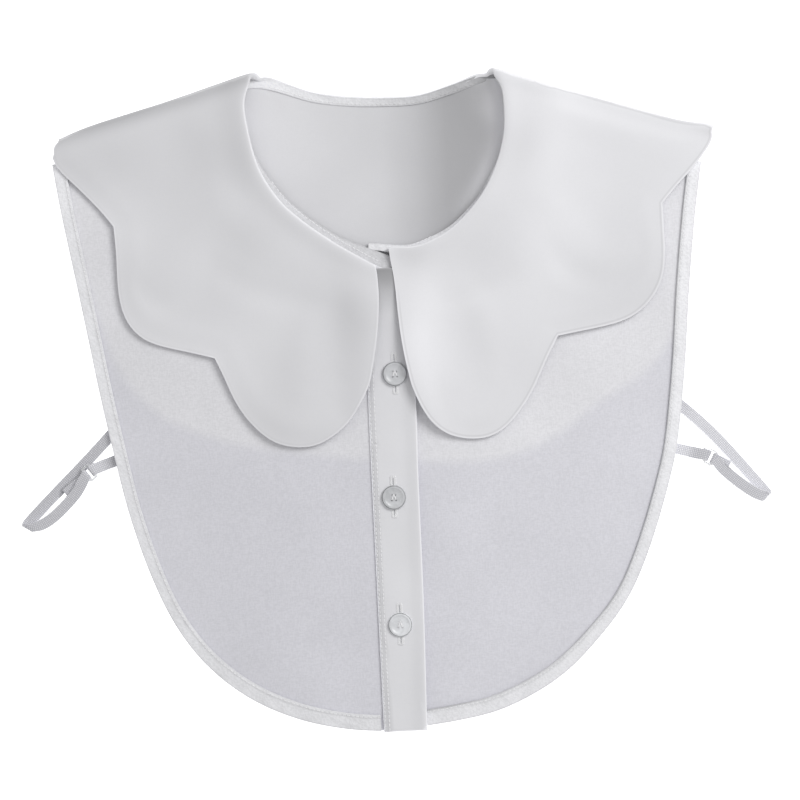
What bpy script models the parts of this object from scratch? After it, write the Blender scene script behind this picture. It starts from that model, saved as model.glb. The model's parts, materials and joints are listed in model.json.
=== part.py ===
"""A false collar of white shirting, laid out on its back.

Sizes are in millimetres until a mesh is made. X runs to the viewer's right, Y from the lower hem up to
the neck, and Z up from the surface that the collar lies on. Before the parts are centred, x = 0 is the
middle of the placket and y = 0 its lower end.

The pieces lie on each other. From the surface up they are the back of the scalloped collar, the back
panel, the two facings, the front under the placket, the front that carries the placket, the placket with
its buttons, and the front of the collar. At each shoulder the collar bends round in one piece.
"""
import math

import bpy
import numpy as np

MM = 0.001

# Cloth walls and the room between them
COLLAR_WALL = 1.2
CLOTH_WALL = 1.0
GAP = 0.3
SLACK = 0.5
LAYER = CLOTH_WALL + SLACK
COLLAR_LIFT = (COLLAR_WALL + CLOTH_WALL) / 2 + GAP
ON_COLLAR = COLLAR_WALL + SLACK

# Widths
STRAP_WIDTH = 6.2
HEM_BOTTOM_WIDTH = 8.8
HEM_SIDE_WIDTH = 7.0
BUTTON_DIAMETER = 13.5
BUTTON_HEIGHT = 2.7
RING_LENGTH = 9.4
RING_WIDTH = 6.4
RING_WIRE = 0.7

# How far the back panel stays inside the fronts, and the panels inside the collar's shoulder fold
BACK_INSET = 6.5
SHOULDER_INSET = 7.5
FOLD_INSET = 5.0
FOLD_BULGE = FOLD_INSET - COLLAR_WALL / 2

# The neckline: how high the fronts stand at it, from the front end to the shoulder
NECK_HEIGHT = {"left": (5.8, 8.6, 10.4), "right": (5.8, 9.2, 11.0)}
SEAM_DEPTH = {"left": (2.4, 2.4, 2.4), "right": (4.5, 2.4, 2.4)}
SEAM_SLACK = 0.1
SHOULDER_ROOM = 2.0
NECK_SPREAD = 42.0
ROLL_SPREAD = 46.0
BACK_RAMP = 95.0
FACING_RAMP = 80.0
ROLL_RADIUS = 1.2
COLLAR_LOFT = 0.7
EDGE_LIFT = 1.8
EDGE_BAND = 14.0

# Where the left front and then the placket come to lie under the collar, from x on over a ramp's width
LAP_START = -28.0
LAP_RAMP = 14.0
PLACKET_START = {"left": -27.0, "right": 29.0}
PLACKET_RAMP = 13.0
# How far along the left roll, from its front end, the lap of the fronts lifts it
LAP_SHARE = 0.3

# A place inside the neck hole and one in the bib, which tell the inner side of an outline
NECK_MIDDLE = (0.0, 300.0)
BIB_MIDDLE = (0.0, 180.0)
# How far outside the roll the fronts and facings begin, and inside it the back panel
FRONT_NECK_OUT = 1.0
FACING_NECK_OUT = 5.0
BACK_NECK_IN = 4.0
# Points along each roll line and along the outline of the facings, and which of them the panels' necks use
ROLL_POINTS = 26
BACK_ROLL_POINTS = 25
FACING_POINTS = 14
NECK_STEP = 3
NECK_LAST = 22

# The roll of the collar round the neck, from the front end to the shoulder: x, y
ROLL = {
    "left": [(-3.2, 255.8), (-13.4, 261.8), (-27.3, 270.7), (-44.2, 283.7), (-55.5, 295.5), (-65.0, 312.5),
             (-69.5, 331.1), (-70.9, 346.1), (-68.4, 361.0)],
    "right": [(5.6, 260.5), (26.6, 268.1), (40.7, 276.2), (55.3, 291.5), (64.3, 308.1), (69.0, 324.4),
              (69.8, 338.1), (69.1, 349.1), (66.8, 359.5)],
}
# The roll at the back of the neck, from the left shoulder to the right one: x, y
BACK_ROLL = [(-62.4, 360.3), (-57.6, 360.6), (-46.7, 356.5), (-32.7, 351.4), (-13.0, 348.2), (7.9, 347.2),
             (25.0, 348.0), (44.5, 353.7), (56.5, 358.4), (61.8, 358.2)]

# The front edge of each collar half, from the neck down: x, y
FRONT_EDGE = {
    "left": [(-3.2, 255.8), (-3.0, 237.0), (-5.2, 215.1), (-10.3, 190.6)],
    "right": [(5.6, 260.5), (6.5, 236.6), (8.4, 211.7), (12.4, 189.5)],
}
# The scallops of each half, each from one valley to the next: name, columns, x and y along it
SCALLOPS = {
    "left": [
        ("front lobe", 11, [(-10.3, 190.6), (-22.2, 170.8), (-39.3, 159.0), (-50.4, 157.9), (-65.6, 161.9),
                            (-82.3, 180.3), (-91.2, 202.8), (-94.5, 209.3)]),
        ("side lobe", 8, [(-94.5, 209.3), (-113.7, 214.9), (-131.6, 219.6), (-143.1, 232.9),
                          (-145.6, 249.5), (-145.3, 277.0), (-146.3, 284.0)]),
        ("shoulder lobe", 6, [(-146.3, 284.0), (-151.3, 291.1), (-165.4, 306.7), (-178.4, 320.3),
                              (-178.0, 326.5), (-174.4, 336.0)]),
    ],
    "right": [
        ("front lobe", 11, [(12.4, 189.5), (19.2, 172.6), (29.6, 161.7), (43.2, 158.2), (59.9, 160.7),
                            (77.4, 180.8), (86.6, 199.6), (94.0, 212.5)]),
        ("side lobe", 8, [(94.0, 212.5), (112.1, 215.4), (123.2, 217.1), (140.0, 222.9), (153.0, 240.4),
                          (154.9, 256.8), (154.2, 276.2), (154.6, 282.2)]),
        ("shoulder lobe", 6, [(154.6, 282.2), (158.6, 287.0), (167.8, 296.4), (177.1, 306.4),
                              (184.0, 318.0), (182.6, 322.6)]),
    ],
}
# The scallops under the back panel, from the left shoulder to the right one: name, columns, x and y
BACK_SCALLOPS = [
    ("left shoulder lobe", 5, [(-173.2, 331.2), (-172.0, 320.0), (-160.0, 305.0), (-148.0, 290.0)]),
    ("left side lobe", 6, [(-148.0, 290.0), (-147.0, 266.0), (-132.0, 244.0), (-108.0, 243.0),
                           (-92.0, 258.0)]),
    ("centre lobe", 9, [(-92.0, 258.0), (-62.0, 241.0), (0.0, 236.0), (62.0, 241.0), (92.0, 258.0)]),
    ("right side lobe", 6, [(92.0, 258.0), (108.0, 243.0), (134.0, 243.0), (150.0, 264.0),
                            (152.0, 286.0)]),
    ("right shoulder lobe", 5, [(152.0, 286.0), (163.0, 297.0), (174.0, 308.0), (181.1, 317.8)]),
]

# The lower outline of each front, from the middle of the bib up to the shoulder: x, y
BIB_EDGE = {
    "left": [(-11.8, 0.6), (-26.7, 1.6), (-54.4, 7.7), (-81.9, 20.1), (-104.7, 38.3), (-121.8, 61.1),
             (-134.7, 89.8), (-145.6, 125.6), (-152.2, 158.4), (-157.9, 189.5), (-163.4, 224.0),
             (-168.9, 257.8), (-174.8, 293.3), (-178.4, 320.0), (-170.0, 328.0)],
    "right": [(12.2, 2.0), (28.0, 4.2), (53.6, 9.1), (85.2, 24.6), (108.8, 46.0), (127.0, 68.8),
              (140.8, 98.9), (152.1, 132.3), (156.8, 150.5), (162.8, 192.6), (167.0, 234.2),
              (172.4, 276.4), (177.2, 304.2), (176.0, 317.0)],
}
# The lower outline of each facing, from the placket to the side: x, y
FACING_EDGE = {
    "left": [(-13.5, 149.4), (-75.1, 159.1), (-102.8, 167.6), (-124.8, 178.6), (-140.6, 194.8),
             (-150.0, 211.0)],
    "right": [(16.0, 147.5), (46.5, 146.0), (71.5, 150.2), (94.5, 160.1), (112.3, 173.6), (138.3, 188.8),
              (154.0, 205.0)],
}
# Each facing's front end at the neck, below the roll, and its corner by the shoulder: x, y
FACING_LEAD = {"left": [(-13.5, 244.0), (-20.0, 253.0)], "right": [(17.0, 250.0), (24.0, 257.0)]}
FACING_CORNER = {"left": (-160.0, 318.0), "right": (160.0, 308.0)}
# The points of the roll line beside which a facing's neck edge runs
FACING_NECK_POINTS = (5, 9, 13, 17, 20, 22)
# What the facings' outline takes in beyond their sides, for the heights of what lies on them: x, y
FACING_BEYOND = [(-190, 260), (-190, 400), (190, 400), (190, 260)]
# The placket: y, left edge x, right edge x
PLACKET = [(0.0, -11.8, 11.9), (70.0, -11.8, 13.4), (140.0, -11.8, 13.8), (181.0, -11.6, 14.6),
           (249.0, -11.2, 14.2)]
# The neck edge of the under placket, which the front over it hides, and its straight side: x, y
UNDER_NECK = [(-11.0, 236.0), (2.0, 241.0), (11.0, 250.0)]
UNDER_SIDE = [(-11.0, 236.0), (-11.0, 120.0), (-11.0, 2.5)]
# How far the front under the placket stays inside the placket's right edge and lower end
PLACKET_MARGIN = 0.4
PLACKET_END_MARGIN = 0.5
# The neck edge of the left front, under the collar's front end, after its start at the placket: x, y
OVER_NECK = (5.0, 251.6)
# Where the hem strips begin beside the placket and end under the collar: x, y
HEM_START = {"left": (-13.2, 0.7), "right": (13.4, 2.1)}
HEM_END = {"left": (-178.3, 319.6), "right": (177.2, 304.2)}
# The hem narrows between these heights
HEM_NARROWS = (10.0, 70.0)
BUTTONS = [(3.6, 196.0), (-0.2, 128.4), (-0.1, 58.5)]
# A button's half section from the middle of its top to the middle of its underside: how far inside the rim
# each corner is, and how high
BUTTON_SECTION = [(BUTTON_DIAMETER / 2, 1.6), (2.3, 1.9), (1.5, BUTTON_HEIGHT), (0.5, BUTTON_HEIGHT),
                  (0.0, BUTTON_HEIGHT - 0.5), (0.0, 0.6), (0.5, 0.0), (BUTTON_DIAMETER / 2, 0.0)]
BUTTON_STEPS = 20

# The straps: x, y, z of the band's middle line, and the heading of the band there in degrees
STRAP = {
    "left": [(-151.6, 172.1, 0.5, 224), (-155.2, 168.6, 0.5, 224), (-168.8, 155.1, 0.5, 224),
             (-186.8, 138.3, 0.5, 224), (-199.9, 125.5, 0.5, 226), (-202.0, 123.0, 1.4, 230),
             (-202.4, 122.0, 2.3, 232), (-201.8, 121.3, 3.2, 234), (-199.6, 121.2, 3.9, 232),
             (-195.5, 121.9, 4.0, 220), (-191.0, 124.0, 3.9, 216), (-185.4, 127.8, 3.9, 221),
             (-178.9, 133.9, 3.9, 224), (-173.6, 139.6, 4.2, 228), (-170.6, 144.3, 4.6, 233)],
    "right": [(156.6, 173.6, 0.5, -43), (161.4, 169.6, 0.5, -43), (170.3, 161.3, 0.5, -44),
              (178.9, 152.2, 0.5, -48), (189.0, 140.2, 0.5, -50), (201.4, 124.6, 0.5, -51),
              (204.4, 120.6, 1.4, -50), (205.0, 119.2, 2.3, -48), (204.2, 118.6, 3.2, -44),
              (201.6, 119.4, 3.9, -36), (197.5, 121.4, 4.0, -33), (192.4, 125.0, 3.9, -38),
              (186.2, 130.2, 3.9, -40), (180.6, 135.4, 4.2, -41)],
}
# Each tab that joins a ring to the hem: x, y, z and heading
TAB = {
    "left": [(-149.0, 156.8, 0.5, 200), (-153.0, 155.4, 0.5, 200), (-157.0, 154.2, 1.2, 202),
             (-160.4, 153.0, 3.2, 208)],
    "right": [(153.4, 148.4, 0.5, -17), (158.0, 147.0, 0.5, -17), (163.0, 145.6, 1.2, -20),
              (167.4, 144.4, 3.2, -24)],
}
# Each ring: x, y, z of its middle and the direction from strap to tab in degrees
RING = {"left": (-166.5, 149.8, 3.4, 37), "right": (174.6, 142.0, 3.4, 151)}
RING_CORNER = 1.2
LOOP_RADIUS = 1.5
STRAP_END = {"left": 15.0, "right": 9.0}
TAB_END = 3.0
SEWN_POINTS = 2


def smooth(value):
    """An S-shaped step from 0 at 0 to 1 at 1."""
    value = np.clip(value, 0.0, 1.0)
    return value * value * (3.0 - 2.0 * value)


def curve_through(points, count, finer=16):
    """A smooth curve through the points, as count points that are evenly spaced along it."""
    points = np.array(points, dtype=float)
    ends = np.vstack([2 * points[0] - points[1], points, 2 * points[-1] - points[-2]])
    dense = []
    for i in range(len(points) - 1):
        a, b, c, d = ends[i:i + 4]
        for u in np.linspace(0.0, 1.0, finer, endpoint=False):
            dense.append(0.5 * (2 * b + (c - a) * u + (2 * a - 5 * b + 4 * c - d) * u ** 2
                                + (3 * b - a - 3 * c + d) * u ** 3))
    dense = np.array(dense + [points[-1]])
    along = np.concatenate([[0.0], np.cumsum(np.linalg.norm(np.diff(dense[:, :2], axis=0), axis=1))])
    wanted = np.linspace(0.0, along[-1], count)
    return np.stack([np.interp(wanted, along, dense[:, k]) for k in range(points.shape[1])], axis=1)


def curve_of_stretches(stretches):
    """One outline from stretches that meet at corners: name, columns, points."""
    parts = [curve_through(points, columns + 1)[:-1] for name, columns, points in stretches]
    return np.vstack(parts + [np.array([stretches[-1][2][-1]], dtype=float)])


def offset_inward(line, distance, inside):
    """The line moved by a distance, or one distance a point, towards the side of the point inside."""
    line = np.array(line, dtype=float)
    along = np.gradient(line, axis=0)
    normal = np.stack([-along[:, 1], along[:, 0]], axis=1)
    normal /= np.linalg.norm(normal, axis=1)[:, None]
    side = np.sign(np.sum(normal * (np.array(inside) - line), axis=1))
    return line + normal * side[:, None] * np.reshape(distance, (-1, 1))


def distance_to_line(points, line):
    """For each point the distance to a polyline, and how far along it the nearest place is, 0 to 1."""
    points = np.atleast_2d(points)
    best = np.full(len(points), np.inf)
    place = np.zeros(len(points))
    lengths = np.linalg.norm(np.diff(line, axis=0), axis=1)
    before = np.concatenate([[0.0], np.cumsum(lengths)])
    for i, length in enumerate(lengths):
        a, b = line[i], line[i + 1]
        u = np.clip((points - a) @ (b - a) / length ** 2, 0.0, 1.0)
        d = np.linalg.norm(points - (a + u[:, None] * (b - a)), axis=1)
        nearer = d < best
        best = np.where(nearer, d, best)
        place = np.where(nearer, (before[i] + u * length) / before[-1], place)
    return best, place


def inside_distance(points, outline):
    """The distance to a closed outline, positive inside it."""
    points = np.atleast_2d(points)
    closed = np.vstack([outline, outline[:1]])
    distance, place = distance_to_line(points, closed)
    crossings = np.zeros(len(points), dtype=int)
    for a, b in zip(closed[:-1], closed[1:]):
        spans = (a[1] > points[:, 1]) != (b[1] > points[:, 1])
        rise = np.where(b[1] == a[1], 1e-9, b[1] - a[1])
        crossings += spans & (points[:, 0] < a[0] + (points[:, 1] - a[1]) * (b[0] - a[0]) / rise)
    return np.where(crossings % 2 == 1, distance, -distance)


def patch(top, bottom, first, last, rows):
    """A grid between four curves that meet at their ends: columns along top, one row for each value."""
    columns = len(top)
    s = np.linspace(0.0, 1.0, columns)[:, None, None]
    t = np.array(rows)[None, :, None]
    side_a = np.stack([np.interp(rows, np.linspace(0, 1, len(first)), first[:, k]) for k in (0, 1)], axis=1)
    side_b = np.stack([np.interp(rows, np.linspace(0, 1, len(last)), last[:, k]) for k in (0, 1)], axis=1)
    ruled = (1 - t) * top[:, None] + t * bottom[:, None] + (1 - s) * side_a[None] + s * side_b[None]
    corners = ((1 - s) * (1 - t) * top[0] + s * (1 - t) * top[-1]
               + (1 - s) * t * bottom[0] + s * t * bottom[-1])
    return ruled - corners


def each(height, grid):
    """The height function read at every point of a grid of columns and rows."""
    flat = grid.reshape(-1, grid.shape[-1])[:, :2]
    return height(flat).reshape(grid.shape[:2])


SIDES = ("left", "right")
ROLL_LINE = {side: curve_through(ROLL[side], ROLL_POINTS) for side in SIDES}
PEAK = {side: np.array(ROLL[side][-1]) for side in SIDES}
TIP = {side: np.array(SCALLOPS[side][-1][2][-1]) for side in SIDES}
BACK_OUTLINE = curve_of_stretches(BACK_SCALLOPS)
FACING_OUTLINE = np.vstack([curve_through(FACING_EDGE["right"], FACING_POINTS)[::-1],
                            curve_through(FACING_EDGE["left"], FACING_POINTS), FACING_BEYOND])


def shoulder_normal(side):
    """The direction in the plan that points out of the garment across the shoulder fold."""
    along = TIP[side] - PEAK[side]
    normal = np.array([-along[1], along[0]]) / np.linalg.norm(along)
    return normal if normal[1] > 0 else -normal


def over(region, height, ramp, points, margin=6.0):
    """What a layer under the cloth lifts it by: its height over the region, none a ramp's width away."""
    return height * smooth((inside_distance(points, region) + margin + ramp) / ramp)


def lift_of_back(points):
    """Where the back of the collar lies under the panels, they lie a layer higher."""
    region = np.vstack([BACK_OUTLINE, [PEAK["right"], PEAK["left"]]])
    return over(region, ON_COLLAR, BACK_RAMP, points)


def along_side(values, place):
    """A value given at the front end, the middle and the shoulder of a neckline."""
    return np.interp(place, (0.0, 0.5, 1.0), values)


def nearest_neck(points):
    """The distance to the front neckline, and the height that the fronts have at its nearest place."""
    found = {side: distance_to_line(points, ROLL_LINE[side]) for side in SIDES}
    left_is_nearer = found["left"][0] < found["right"][0]
    heights = {side: along_side(NECK_HEIGHT[side], found[side][1]) for side in SIDES}
    return (np.where(left_is_nearer, found["left"][0], found["right"][0]),
            np.where(left_is_nearer, heights["left"], heights["right"]))


def back_height(points):
    """The middle of the back panel's wall. It rises to meet the fronts at each shoulder's neck end."""
    base = CLOTH_WALL / 2 + lift_of_back(points)
    for side in SIDES:
        near = 1.0 - smooth(np.linalg.norm(points - PEAK[side], axis=1) / NECK_SPREAD)
        base = base + near * (NECK_HEIGHT[side][2] - 2 * LAYER - SHOULDER_ROOM - base)
    return base


def under_front_height(points):
    """The middle of the wall of the front that lies under the placket, and of both fronts at the sides."""
    base = CLOTH_WALL / 2 + lift_of_back(points) + LAYER + over(FACING_OUTLINE, LAYER, FACING_RAMP, points)
    distance, neck = nearest_neck(points)
    near = 1.0 - smooth(distance / NECK_SPREAD)
    return base + near * (neck - base)


def over_front_height(points):
    """The middle of the wall of the front that carries the placket and laps over the other."""
    return under_front_height(points) + LAYER * smooth((points[:, 0] - LAP_START) / LAP_RAMP)


def placket_height(points):
    return over_front_height(points) + LAYER


def facing_height(points):
    return under_front_height(points) - LAYER


def front_stack(side, points):
    """The middle of the topmost wall under one half of the collar."""
    beyond = points[:, 0] - PLACKET_START[side]
    if side == "left":
        return over_front_height(points) + LAYER * smooth(beyond / PLACKET_RAMP)
    return under_front_height(points) + 2 * LAYER * smooth(-beyond / PLACKET_RAMP)


def crest_height(side, place):
    """The middle of the collar's wall along the roll."""
    seam = along_side(SEAM_DEPTH[side], place) + COLLAR_LIFT + SEAM_SLACK
    lapped = LAYER * (1.0 - smooth(place / LAP_SHARE)) if side == "left" else 0.0
    return along_side(NECK_HEIGHT[side], place) + seam + lapped


def collar_height(side, points, to_edge):
    """The middle of the wall of a front half: it falls from the roll and stands off at its outer edge."""
    distance, place = distance_to_line(points, ROLL_LINE[side])
    stack = front_stack(side, points) + COLLAR_LIFT + COLLAR_LOFT
    at_roll = crest_height(side, place) - stack
    near = 1.0 - smooth(distance / ROLL_SPREAD)
    lift = EDGE_LIFT * (1.0 - smooth(to_edge / EDGE_BAND))
    return stack + near * np.maximum(at_roll, 0.0) + (1.0 - near) * lift


def back_collar_height(points):
    """The middle of the wall of the collar's back, which lies on the surface."""
    base = np.full(len(points), COLLAR_WALL / 2)
    for side in SIDES:
        near = 1.0 - smooth(np.linalg.norm(points - PEAK[side], axis=1) / NECK_SPREAD)
        top = NECK_HEIGHT[side][2] - 2 * LAYER - SHOULDER_ROOM - COLLAR_LIFT - SLACK
        base = base + near * (top - base)
    return base


def new_object(name, mesh, collection, material):
    obj = bpy.data.objects.new(name, mesh)
    collection.objects.link(obj)
    mesh.materials.append(material)
    mesh.shade_smooth()
    return obj


def surface(name, grid, collection, material, wall, faces_up=True):
    """An open grid of points in millimetres, thickened evenly to both sides."""
    columns, rows = grid.shape[:2]
    quads = []
    for i in range(columns - 1):
        for j in range(rows - 1):
            quad = (i * rows + j, (i + 1) * rows + j, (i + 1) * rows + j + 1, i * rows + j + 1)
            quads.append(quad if faces_up else quad[::-1])
    mesh = bpy.data.meshes.new(name)
    mesh.from_pydata((grid.reshape(-1, 3) * MM).tolist(), [], quads)
    mesh.update()
    obj = new_object(name, mesh, collection, material)
    solidify = obj.modifiers.new("wall", "SOLIDIFY")
    solidify.thickness = wall * MM
    solidify.offset = 0.0
    solidify.use_even_offset = True
    solidify.thickness_clamp = 0.0
    return obj


def cloth(name, rgb, roughness=0.85):
    material = bpy.data.materials.new(name)
    material.use_nodes = True
    shader = material.node_tree.nodes["Principled BSDF"]
    shader.inputs["Base Color"].default_value = (*rgb, 1.0)
    shader.inputs["Roughness"].default_value = roughness
    shader.inputs["Metallic"].default_value = 0.0
    return material


# Rows of the collar from the roll to the edge, as shares of the way
COLLAR_ROWS = (0.07, 0.12, 0.19, 0.28, 0.4, 0.55, 0.7, 0.83, 0.93, 1.0)
# The turn of the collar at its neck seam: away from the neck, and into the garment, in roll radii
HAIRPIN = ((1.9, 2.0), (0.9, 2.0), (0.15, 1.5), (0.15, 0.5), (0.9, 0.0))
RIB_SHARE = 0.4
FOLD_ANGLES = (36, 72, 108, 144)
# How much of its bulge the shoulder fold keeps at its tip, and the share of its rows after which it loses it
TIP_FULLNESS = {"left": 0.45, "right": 1.0}
TIP_START = 0.88
SIDE_POINTS = 12


def unit(vectors):
    return vectors / np.linalg.norm(vectors, axis=-1, keepdims=True)


def away_from_neck(roll, ribs):
    """The direction in the plan nearly square to the roll, on the side that the collar lies on."""
    along = unit(np.gradient(roll, axis=0))
    square = np.stack([-along[:, 1], along[:, 0]], axis=1)
    middle = len(roll) // 2
    square = square * np.sign(np.sum(square[middle] * ribs[middle]))
    return unit(square + ribs * RIB_SHARE)


def collar_part(roll, outline, first, last, height, into, seam):
    """One stretch of the collar: its plan, heights, and the frame of its turn at the neck."""
    plan = patch(roll, outline, first, last, (0.0, *COLLAR_ROWS))
    ribs = unit(plan[:, 2] - plan[:, 0])
    return {"plan": plan, "z": height(plan), "away": away_from_neck(roll, ribs),
            "into": np.tile(into, (len(roll), 1)), "seam": seam}


def front_half(side):
    inset = shoulder_normal(side) * FOLD_INSET
    name, columns, points = SCALLOPS[side][-1]
    outline = curve_of_stretches([*SCALLOPS[side][:-1], (name, columns, [*points[:-1], TIP[side] - inset])])
    roll = curve_through([*ROLL[side][:-1], PEAK[side] - inset], len(outline))
    roll = offset_inward(roll, -COLLAR_WALL / 2, NECK_MIDDLE)
    front = curve_through([roll[0], *FRONT_EDGE[side][1:]], SIDE_POINTS)
    edge = np.vstack([front[:-1], outline])
    place = np.linspace(0.0, 1.0, len(outline))

    def height(plan):
        to_edge = each(lambda points: distance_to_line(points, edge)[0], plan)
        z = collar_height(side, plan.reshape(-1, 2), to_edge.reshape(-1)).reshape(plan.shape[:2])
        z[:, 0] = crest_height(side, place)
        return z

    return collar_part(roll, outline, front, np.linspace(roll[-1], outline[-1], SIDE_POINTS), height,
                       (0.0, 0.0, -1.0), along_side(SEAM_DEPTH[side], place))


def back_half():
    outline = BACK_OUTLINE
    roll = offset_inward(curve_through(BACK_ROLL, len(outline)), COLLAR_WALL / 2, NECK_MIDDLE)
    folds = [np.linspace(roll[i], outline[i], SIDE_POINTS) for i in (0, -1)]
    return collar_part(roll, outline, folds[0], folds[1], lambda plan: each(back_collar_height, plan),
                       (0.0, 0.0, 1.0), np.full(len(outline), 2 * ROLL_RADIUS))


def shoulder_fold(side, front, back, back_column):
    """The columns that carry the collar round its shoulder, from the front half to the back."""
    normal = shoulder_normal(side)
    past_start = (np.array((0.0, *COLLAR_ROWS)) - TIP_START) / (1.0 - TIP_START)
    bulge = FOLD_BULGE * (1.0 - (1.0 - TIP_FULLNESS[side]) * smooth(past_start))
    columns = []
    for angle in FOLD_ANGLES:
        turn = math.radians(angle)
        share = (1.0 - math.cos(turn)) / 2
        ends = [{key: part[key][i] for key in front} for part, i in ((front, -1), (back, back_column))]
        column = {key: ends[0][key] * (1 - share) + ends[1][key] * share for key in front}
        column["plan"] = column["plan"] + normal * bulge[:, None] * math.sin(turn)
        column["into"] = np.array([*(-normal * math.sin(turn)), -math.cos(turn)])
        column["away"] = unit(column["away"])
        columns.append(column)
    return {key: np.array([column[key] for column in columns]) for key in front}


def ring_round_the_neck():
    """Every column of the collar, from the left front end round the back to the right front end."""
    halves = {side: front_half(side) for side in SIDES}
    back = back_half()
    left_fold = shoulder_fold("left", halves["left"], back, 0)
    right_fold = shoulder_fold("right", halves["right"], back, -1)
    turned = [{key: value[::-1] for key, value in part.items()} for part in (right_fold, halves["right"])]
    parts = (halves["left"], left_fold, back, *turned)
    return {key: np.concatenate([part[key] for part in parts]) for key in back}


def frame_of(ring):
    """Where the roll is on each column, the way from the neck and the way into the garment."""
    roll = np.concatenate([ring["plan"][:, 0], ring["z"][:, :1]], axis=1)
    away = np.concatenate([ring["away"], np.zeros((len(roll), 1))], axis=1)
    return roll, away, ring["into"]


def make_collar(collection, material):
    ring = ring_round_the_neck()
    roll, away, into = frame_of(ring)
    turn = []
    for along, deep in HAIRPIN:
        depth = np.where(deep > 1.0, ring["seam"] - (2.0 - deep) * ROLL_RADIUS, deep * ROLL_RADIUS)
        turn.append(roll + away * along * ROLL_RADIUS + into * depth[:, None])
    sheet = np.concatenate([ring["plan"][:, 1:], ring["z"][:, 1:, None]], axis=2)
    grid = np.concatenate([np.stack(turn, axis=1), sheet], axis=1)
    collar = surface("collar", grid, collection, material, COLLAR_WALL, faces_up=False)
    collar.modifiers["wall"].use_even_offset = False


# The strip that covers each front neck seam inside. At places from the front end to the shoulder: how far
# its start is from the roll and past the seam, the way that it turns from there in degrees, and its width
BINDING = {
    "left": [(0.0, 1.4, 2.9, 172, 6.2), (0.5, 1.4, 2.9, 165, 5.0), (0.8, 1.4, 2.9, 135, 3.2),
             (1.0, 1.4, 2.9, 125, 3.0)],
    "right": [(0.0, 1.4, 2.9, 172, 4.6), (0.3, 1.4, 2.9, 150, 3.4), (0.7, 1.4, 2.9, 130, 3.0),
              (1.0, 1.4, 2.9, 125, 3.0)],
}
# The columns of the collar half beside which the strip lies, and its loose front end: x, y at both edges
BINDING_COLUMNS = {"left": (0, -4), "right": (2, -4)}
BINDING_END = {"left": [((4.6, 253.0), (4.8, 257.4))],
               "right": [((-7.6, 264.4), (-7.4, 268.2)), ((-2.0, 263.9), (-2.2, 268.0)),
                         ((3.8, 262.6), (3.4, 266.9))]}
# The strip over the back neck seam: x, y of its middle line, and its width
BACK_BINDING = [(-64.6, 353.6, 4.4), (-57.5, 355.6, 5.4), (-46.7, 352.4, 5.4), (-32.7, 347.7, 5.0),
                (-13.0, 344.6, 4.6), (7.9, 343.6, 4.4), (25.0, 344.4, 4.4), (44.5, 349.9, 4.6),
                (56.0, 353.8, 4.6), (62.6, 353.6, 4.2)]
BACK_BINDING_LIFT = (4.1, 3.5)
BACK_BINDING_COLUMNS = 26


def make_front_binding(side, collection, material):
    half = front_half(side)
    roll, away, into = frame_of(half)
    place = np.linspace(0.0, 1.0, len(roll))
    table = np.array(BINDING[side])
    start, deep, heading, width = [np.interp(place, table[:, 0], table[:, k]) for k in range(1, 5)]
    heading = np.radians(heading)
    rows = []
    for share in np.linspace(0.0, 1.0, 3):
        along = start + width * share * np.cos(heading)
        depth = half["seam"] + deep + width * share * np.sin(heading)
        rows.append(roll + away * along[:, None] + into * depth[:, None])
    first, last = BINDING_COLUMNS[side]
    grid = np.stack(rows, axis=1)[first:last]
    loose = np.array(BINDING_END[side], dtype=float)
    shares = np.linspace(0.0, 1.0, 3)[None, :, None]
    plan = loose[:, :1] * (1 - shares) + loose[:, 1:] * shares
    height = np.broadcast_to(grid[0, :, 2], plan.shape[:2])[..., None]
    grid = np.concatenate([np.concatenate([plan, height], axis=2), grid])
    surface("binding_" + side, grid, collection, material, CLOTH_WALL, faces_up=side == "right")


def make_back_binding(collection, material):
    line = curve_through(BACK_BINDING, BACK_BINDING_COLUMNS)
    edges = [offset_inward(line[:, :2], sign * line[:, 2] / 2, NECK_MIDDLE) for sign in (-1, 0, 1)]
    plan = np.stack(edges, axis=1)
    lift = np.linspace(*BACK_BINDING_LIFT, 3)
    height = each(back_collar_height, plan) + lift
    surface("binding_back", np.concatenate([plan, height[..., None]], axis=2), collection, material,
            CLOTH_WALL, faces_up=False)


def panel(name, neck, edge, middle, shoulder, height, rows, collection, material):
    """A panel between its neck edge, its lower outline, its side at the middle and its shoulder."""
    plan = patch(neck, edge, middle, shoulder, rows)
    grid = np.concatenate([plan, each(height, plan)[..., None]], axis=2)
    return surface(name, grid, collection, material, CLOTH_WALL, faces_up=False)


PANEL_ROWS = (0.0, 0.03, 0.065, 0.105, 0.16, 0.23, 0.32, 0.42, 0.53, 0.65, 0.77, 0.88, 1.0)
PANEL_COLUMNS = 22
FACING_ROWS = 11
FACING_COLUMNS = 16
BACK_PANEL_ROWS = (0.0, 0.05, 0.11, 0.18, 0.26, 0.36, 0.48, 0.6, 0.72, 0.82, 0.91, 1.0)
BACK_PANEL_COLUMNS = 33
PLACKET_ROWS = 26
PLACKET_COLUMNS = 4
HEM_COLUMNS = 30
SEAM_START = 7.0


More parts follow.
